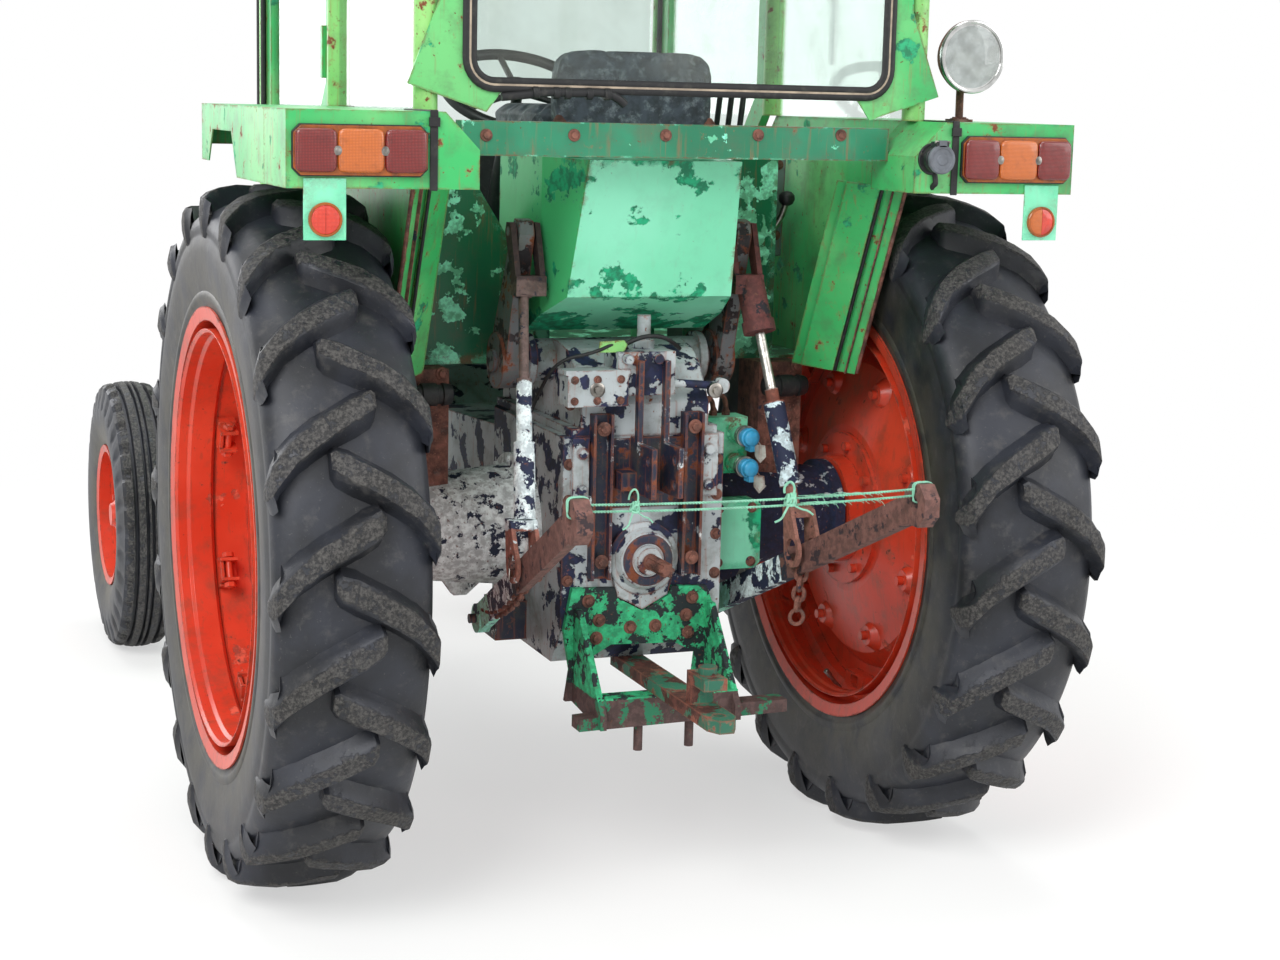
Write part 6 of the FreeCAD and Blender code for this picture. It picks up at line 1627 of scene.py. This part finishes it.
@dataclass(frozen=True)
class Nose:
    """Headlamps, louvres and catches of the hood."""

    lamp_x: float = 150
    lamp_z: float = 1260
    louvres: int = 9
    louvre_y: float = 1330
    pitch: float = 62

    def headlamps(self) -> None:
        """Builds both headlamps: bright ring, bowl and fluted glass."""
        rear, front = (corner[1] / MM - REAR_AXLE_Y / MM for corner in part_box("headlamps"))
        glass, bowl, ring = Form(), Form(), Form()
        for side in Side:
            x, z = side.value * self.lamp_x, self.lamp_z
            deep = min(front - rear, 60) - 4
            glass.turned((x, front - 12, z), (x, front, z), ((0, 74), (4, 70), (8, 50), (10.5, 25), (11, 0)), 48)
            bowl.turned((x, front - 12, z), (x, front - 40, z), ((0, 74), (deep * 0.3, 66), (deep * 0.6, 48),
                                                                (deep * 0.85, 22), (deep, 0)), 48)
            ring.turned((x, front - 14, z), (x, front, z), (
                (0, 72), (0, 79), (6, 79.5), (9, 77), (9, 74), (5, 72)), 64)
        glass.piece("headlamp_glass", Finish.LAMP_GLASS, body="hood_lid", stands_for=("headlamps",))
        bowl.piece("headlamp_bowls", Finish.CHROME, body="hood_lid")
        ring.piece("headlamp_rings", Finish.CHROME, body="hood_lid")

    def flanks(self, side: Side) -> None:
        """Builds the pressed louvres and the rubber catch on one side of the hood."""
        s = side.value
        form = Form()
        for k in range(self.louvres):
            y = self.louvre_y + k * self.pitch
            rings = [[Vector((s * x, y + dy, z)) for dy, x in ((0, 249), (34, 249), (34, 249 + out), (4, 250))]
                     for z, out in ((1180, 1), (1186, 7), (1290, 7), (1296, 1))]
            form.loft(rings)
        form.piece(f"louvres_{side.word}", Finish.BRIGHT_GREEN, 0.8, body="hood_lid")
        catch = Form().box((s * 254 - 5, 1960, 1066), (s * 254 + 5, 1982, 1140))
        catch.turned((s * 249, 1971, 1150), (s * 262, 1971, 1150), ((0, 14), (10, 14), (12, 11), (12, 0)), 20)
        catch.piece(f"hood_catch_{side.word}", Finish.BLACK_RUBBER, 1.5, body="hood_lid")

    def build(self) -> None:
        """Builds the hood's fittings."""
        self.headlamps()
        for side in Side:
            self.flanks(side)


@dataclass(frozen=True)
class Studio:
    """Plain floor, soft lamps and the camera at the photograph's place."""

    # The camera was solved from the photograph: its place is measured from the rear axle on the ground.
    place: tuple[float, float, float] = (-1.787, -4.848, 1.754)
    yaw_deg: float = 21.35
    pitch_deg: float = 9.70
    roll_deg: float = 1.41
    focal_px: float = 2239.0
    width_px: float = 1280.0
    film_mm: float = 36.0
    floor_half: float = 60.0
    # Name, place and width in metres, and power in watts.
    lamps: tuple = (("key", (-5.0, -6.0, 6.0), 4.0, 470), ("fill", (6.0, -5.0, 4.0), 5.0, 230),
                    ("top", (0.0, 1.0, 8.0), 6.0, 420), ("front", (-4.0, 7.0, 4.0), 5.0, 300))

    def build(self) -> None:
        """Makes the floor, the world, the lamps and the camera."""
        self.floor()
        self.world()
        for name, spot, size, power in self.lamps:
            self.lamp(name, spot, size, power)
        self.camera()

    def camera(self) -> None:
        """Sets the camera from its solved place and angles."""
        yaw, pitch, roll = (math.radians(a) for a in (self.yaw_deg, self.pitch_deg, self.roll_deg))
        ahead = Vector((math.sin(yaw) * math.cos(pitch), math.cos(yaw) * math.cos(pitch), -math.sin(pitch)))
        right = Vector((math.cos(yaw), -math.sin(yaw), 0))
        above = right.cross(ahead)
        tilted_right = right * math.cos(roll) + above * math.sin(roll)
        tilted_up = above * math.cos(roll) - right * math.sin(roll)
        data = bpy.data.cameras.new("photo camera")
        data.sensor_width = self.film_mm
        data.lens = self.focal_px / self.width_px * self.film_mm
        camera = shown("photo camera", data)
        turn = Matrix((tilted_right, tilted_up, -ahead)).transposed()
        spot = Vector(self.place) + Vector((0, REAR_AXLE_Y, 0))
        camera.matrix_world = Matrix.Translation(spot) @ turn.to_4x4()
        bpy.context.scene.camera = camera

    def seen(self, tree: bpy.types.NodeTree) -> bpy.types.NodeSocket:
        """A switch that is one for rays from the camera, a mirror or a pane of glass.

        Args:
            tree: The tree it is added to.

        Returns:
            The switch's socket.
        """
        path = add_node(tree, "LightPath")
        both = add_node(tree, "Math", {0: path.outputs["Is Camera Ray"], 1: path.outputs["Is Glossy Ray"]},
                        operation="MAXIMUM").outputs[0]
        return add_node(tree, "Math", {0: both, 1: path.outputs["Is Transmission Ray"]},
                        operation="MAXIMUM").outputs[0]

    def floor(self) -> None:
        """Makes the pale floor, which keeps the tractor's shadow and fades to white away from it."""
        mesh = bpy.data.meshes.new("floor")
        far = self.floor_half
        mesh.from_pydata([(-far, -far, 0), (far, -far, 0), (far, far, 0), (-far, far, 0)], [], [(0, 1, 2, 3)])
        item = shown("floor", mesh)
        shader = Shader("pale plaster floor")
        tree = shader.tree
        near = add_node(tree, "BsdfDiffuse", {"Color": linear("f0f0ee"), "Roughness": 0.9}).outputs[0]
        white = add_node(tree, "Emission", {"Color": linear("ffffff"), "Strength": 1.0}).outputs[0]
        spot = add_node(tree, "TexCoord").outputs["Object"]
        away = add_node(tree, "VectorMath", {0: spot}, operation="LENGTH").outputs["Value"]
        fade = shader.times(shader.between(shader.ramp(away, 1.6, 4.6), 0.55, 1.0), self.seen(tree))
        both = add_node(tree, "MixShader", {0: fade, 1: near, 2: white}).outputs[0]
        add_node(tree, "OutputMaterial", {"Surface": both})
        mesh.materials.append(shader.material)

    def world(self) -> None:
        """Lights the scene evenly and shows a white background to camera, mirror and glass rays."""
        world = bpy.data.worlds.new("studio")
        bpy.context.scene.world = world
        world.use_nodes = True
        tree = world.node_tree
        tree.nodes.clear()
        soft = add_node(tree, "Background", {"Color": linear("f4f6f8"), "Strength": 0.55}).outputs[0]
        white = add_node(tree, "Background", {"Color": linear("ffffff"), "Strength": 1.0}).outputs[0]
        both = add_node(tree, "MixShader", {0: self.seen(tree), 1: soft, 2: white}).outputs[0]
        add_node(tree, "OutputWorld", {"Surface": both})

    def lamp(self, name: str, spot: tuple[float, float, float], size: float, power: float) -> None:
        """Adds one square soft lamp that looks at the tractor's middle.

        Args:
            name: The lamp's name.
            spot: Its place.
            size: Its width in metres.
            power: Its power in watts.
        """
        data = bpy.data.lights.new(name, "AREA")
        data.size = size
        data.energy = power
        item = shown(name, data)
        item.location = spot
        item.rotation_euler = (Vector((0, 0, 1.0)) - Vector(spot)).to_track_quat("-Z", "Y").to_euler()


def dress_cad() -> None:
    """Gives every CAD node its finish."""
    for finish, names in NODE_FINISH.items():
        for name in names:
            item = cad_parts[name]
            item.data.materials.clear()
            item.data.materials.append(finish.material())
            log.info("dressed %s", name)


def main() -> None:
    """Builds the whole scene in order."""
    bpy.context.scene.view_settings.view_transform = "Standard"
    Studio().build()
    dress_cad()
    for part in (Wheels(), RearLamps(), RearWindow(), DriverSeat(), Linkage(), Bodywork(), Nose()):
        part.build()
        log.info("%s done", type(part).__name__)


if __name__ == "__main__":
    logging.basicConfig(level=logging.INFO)
    main()
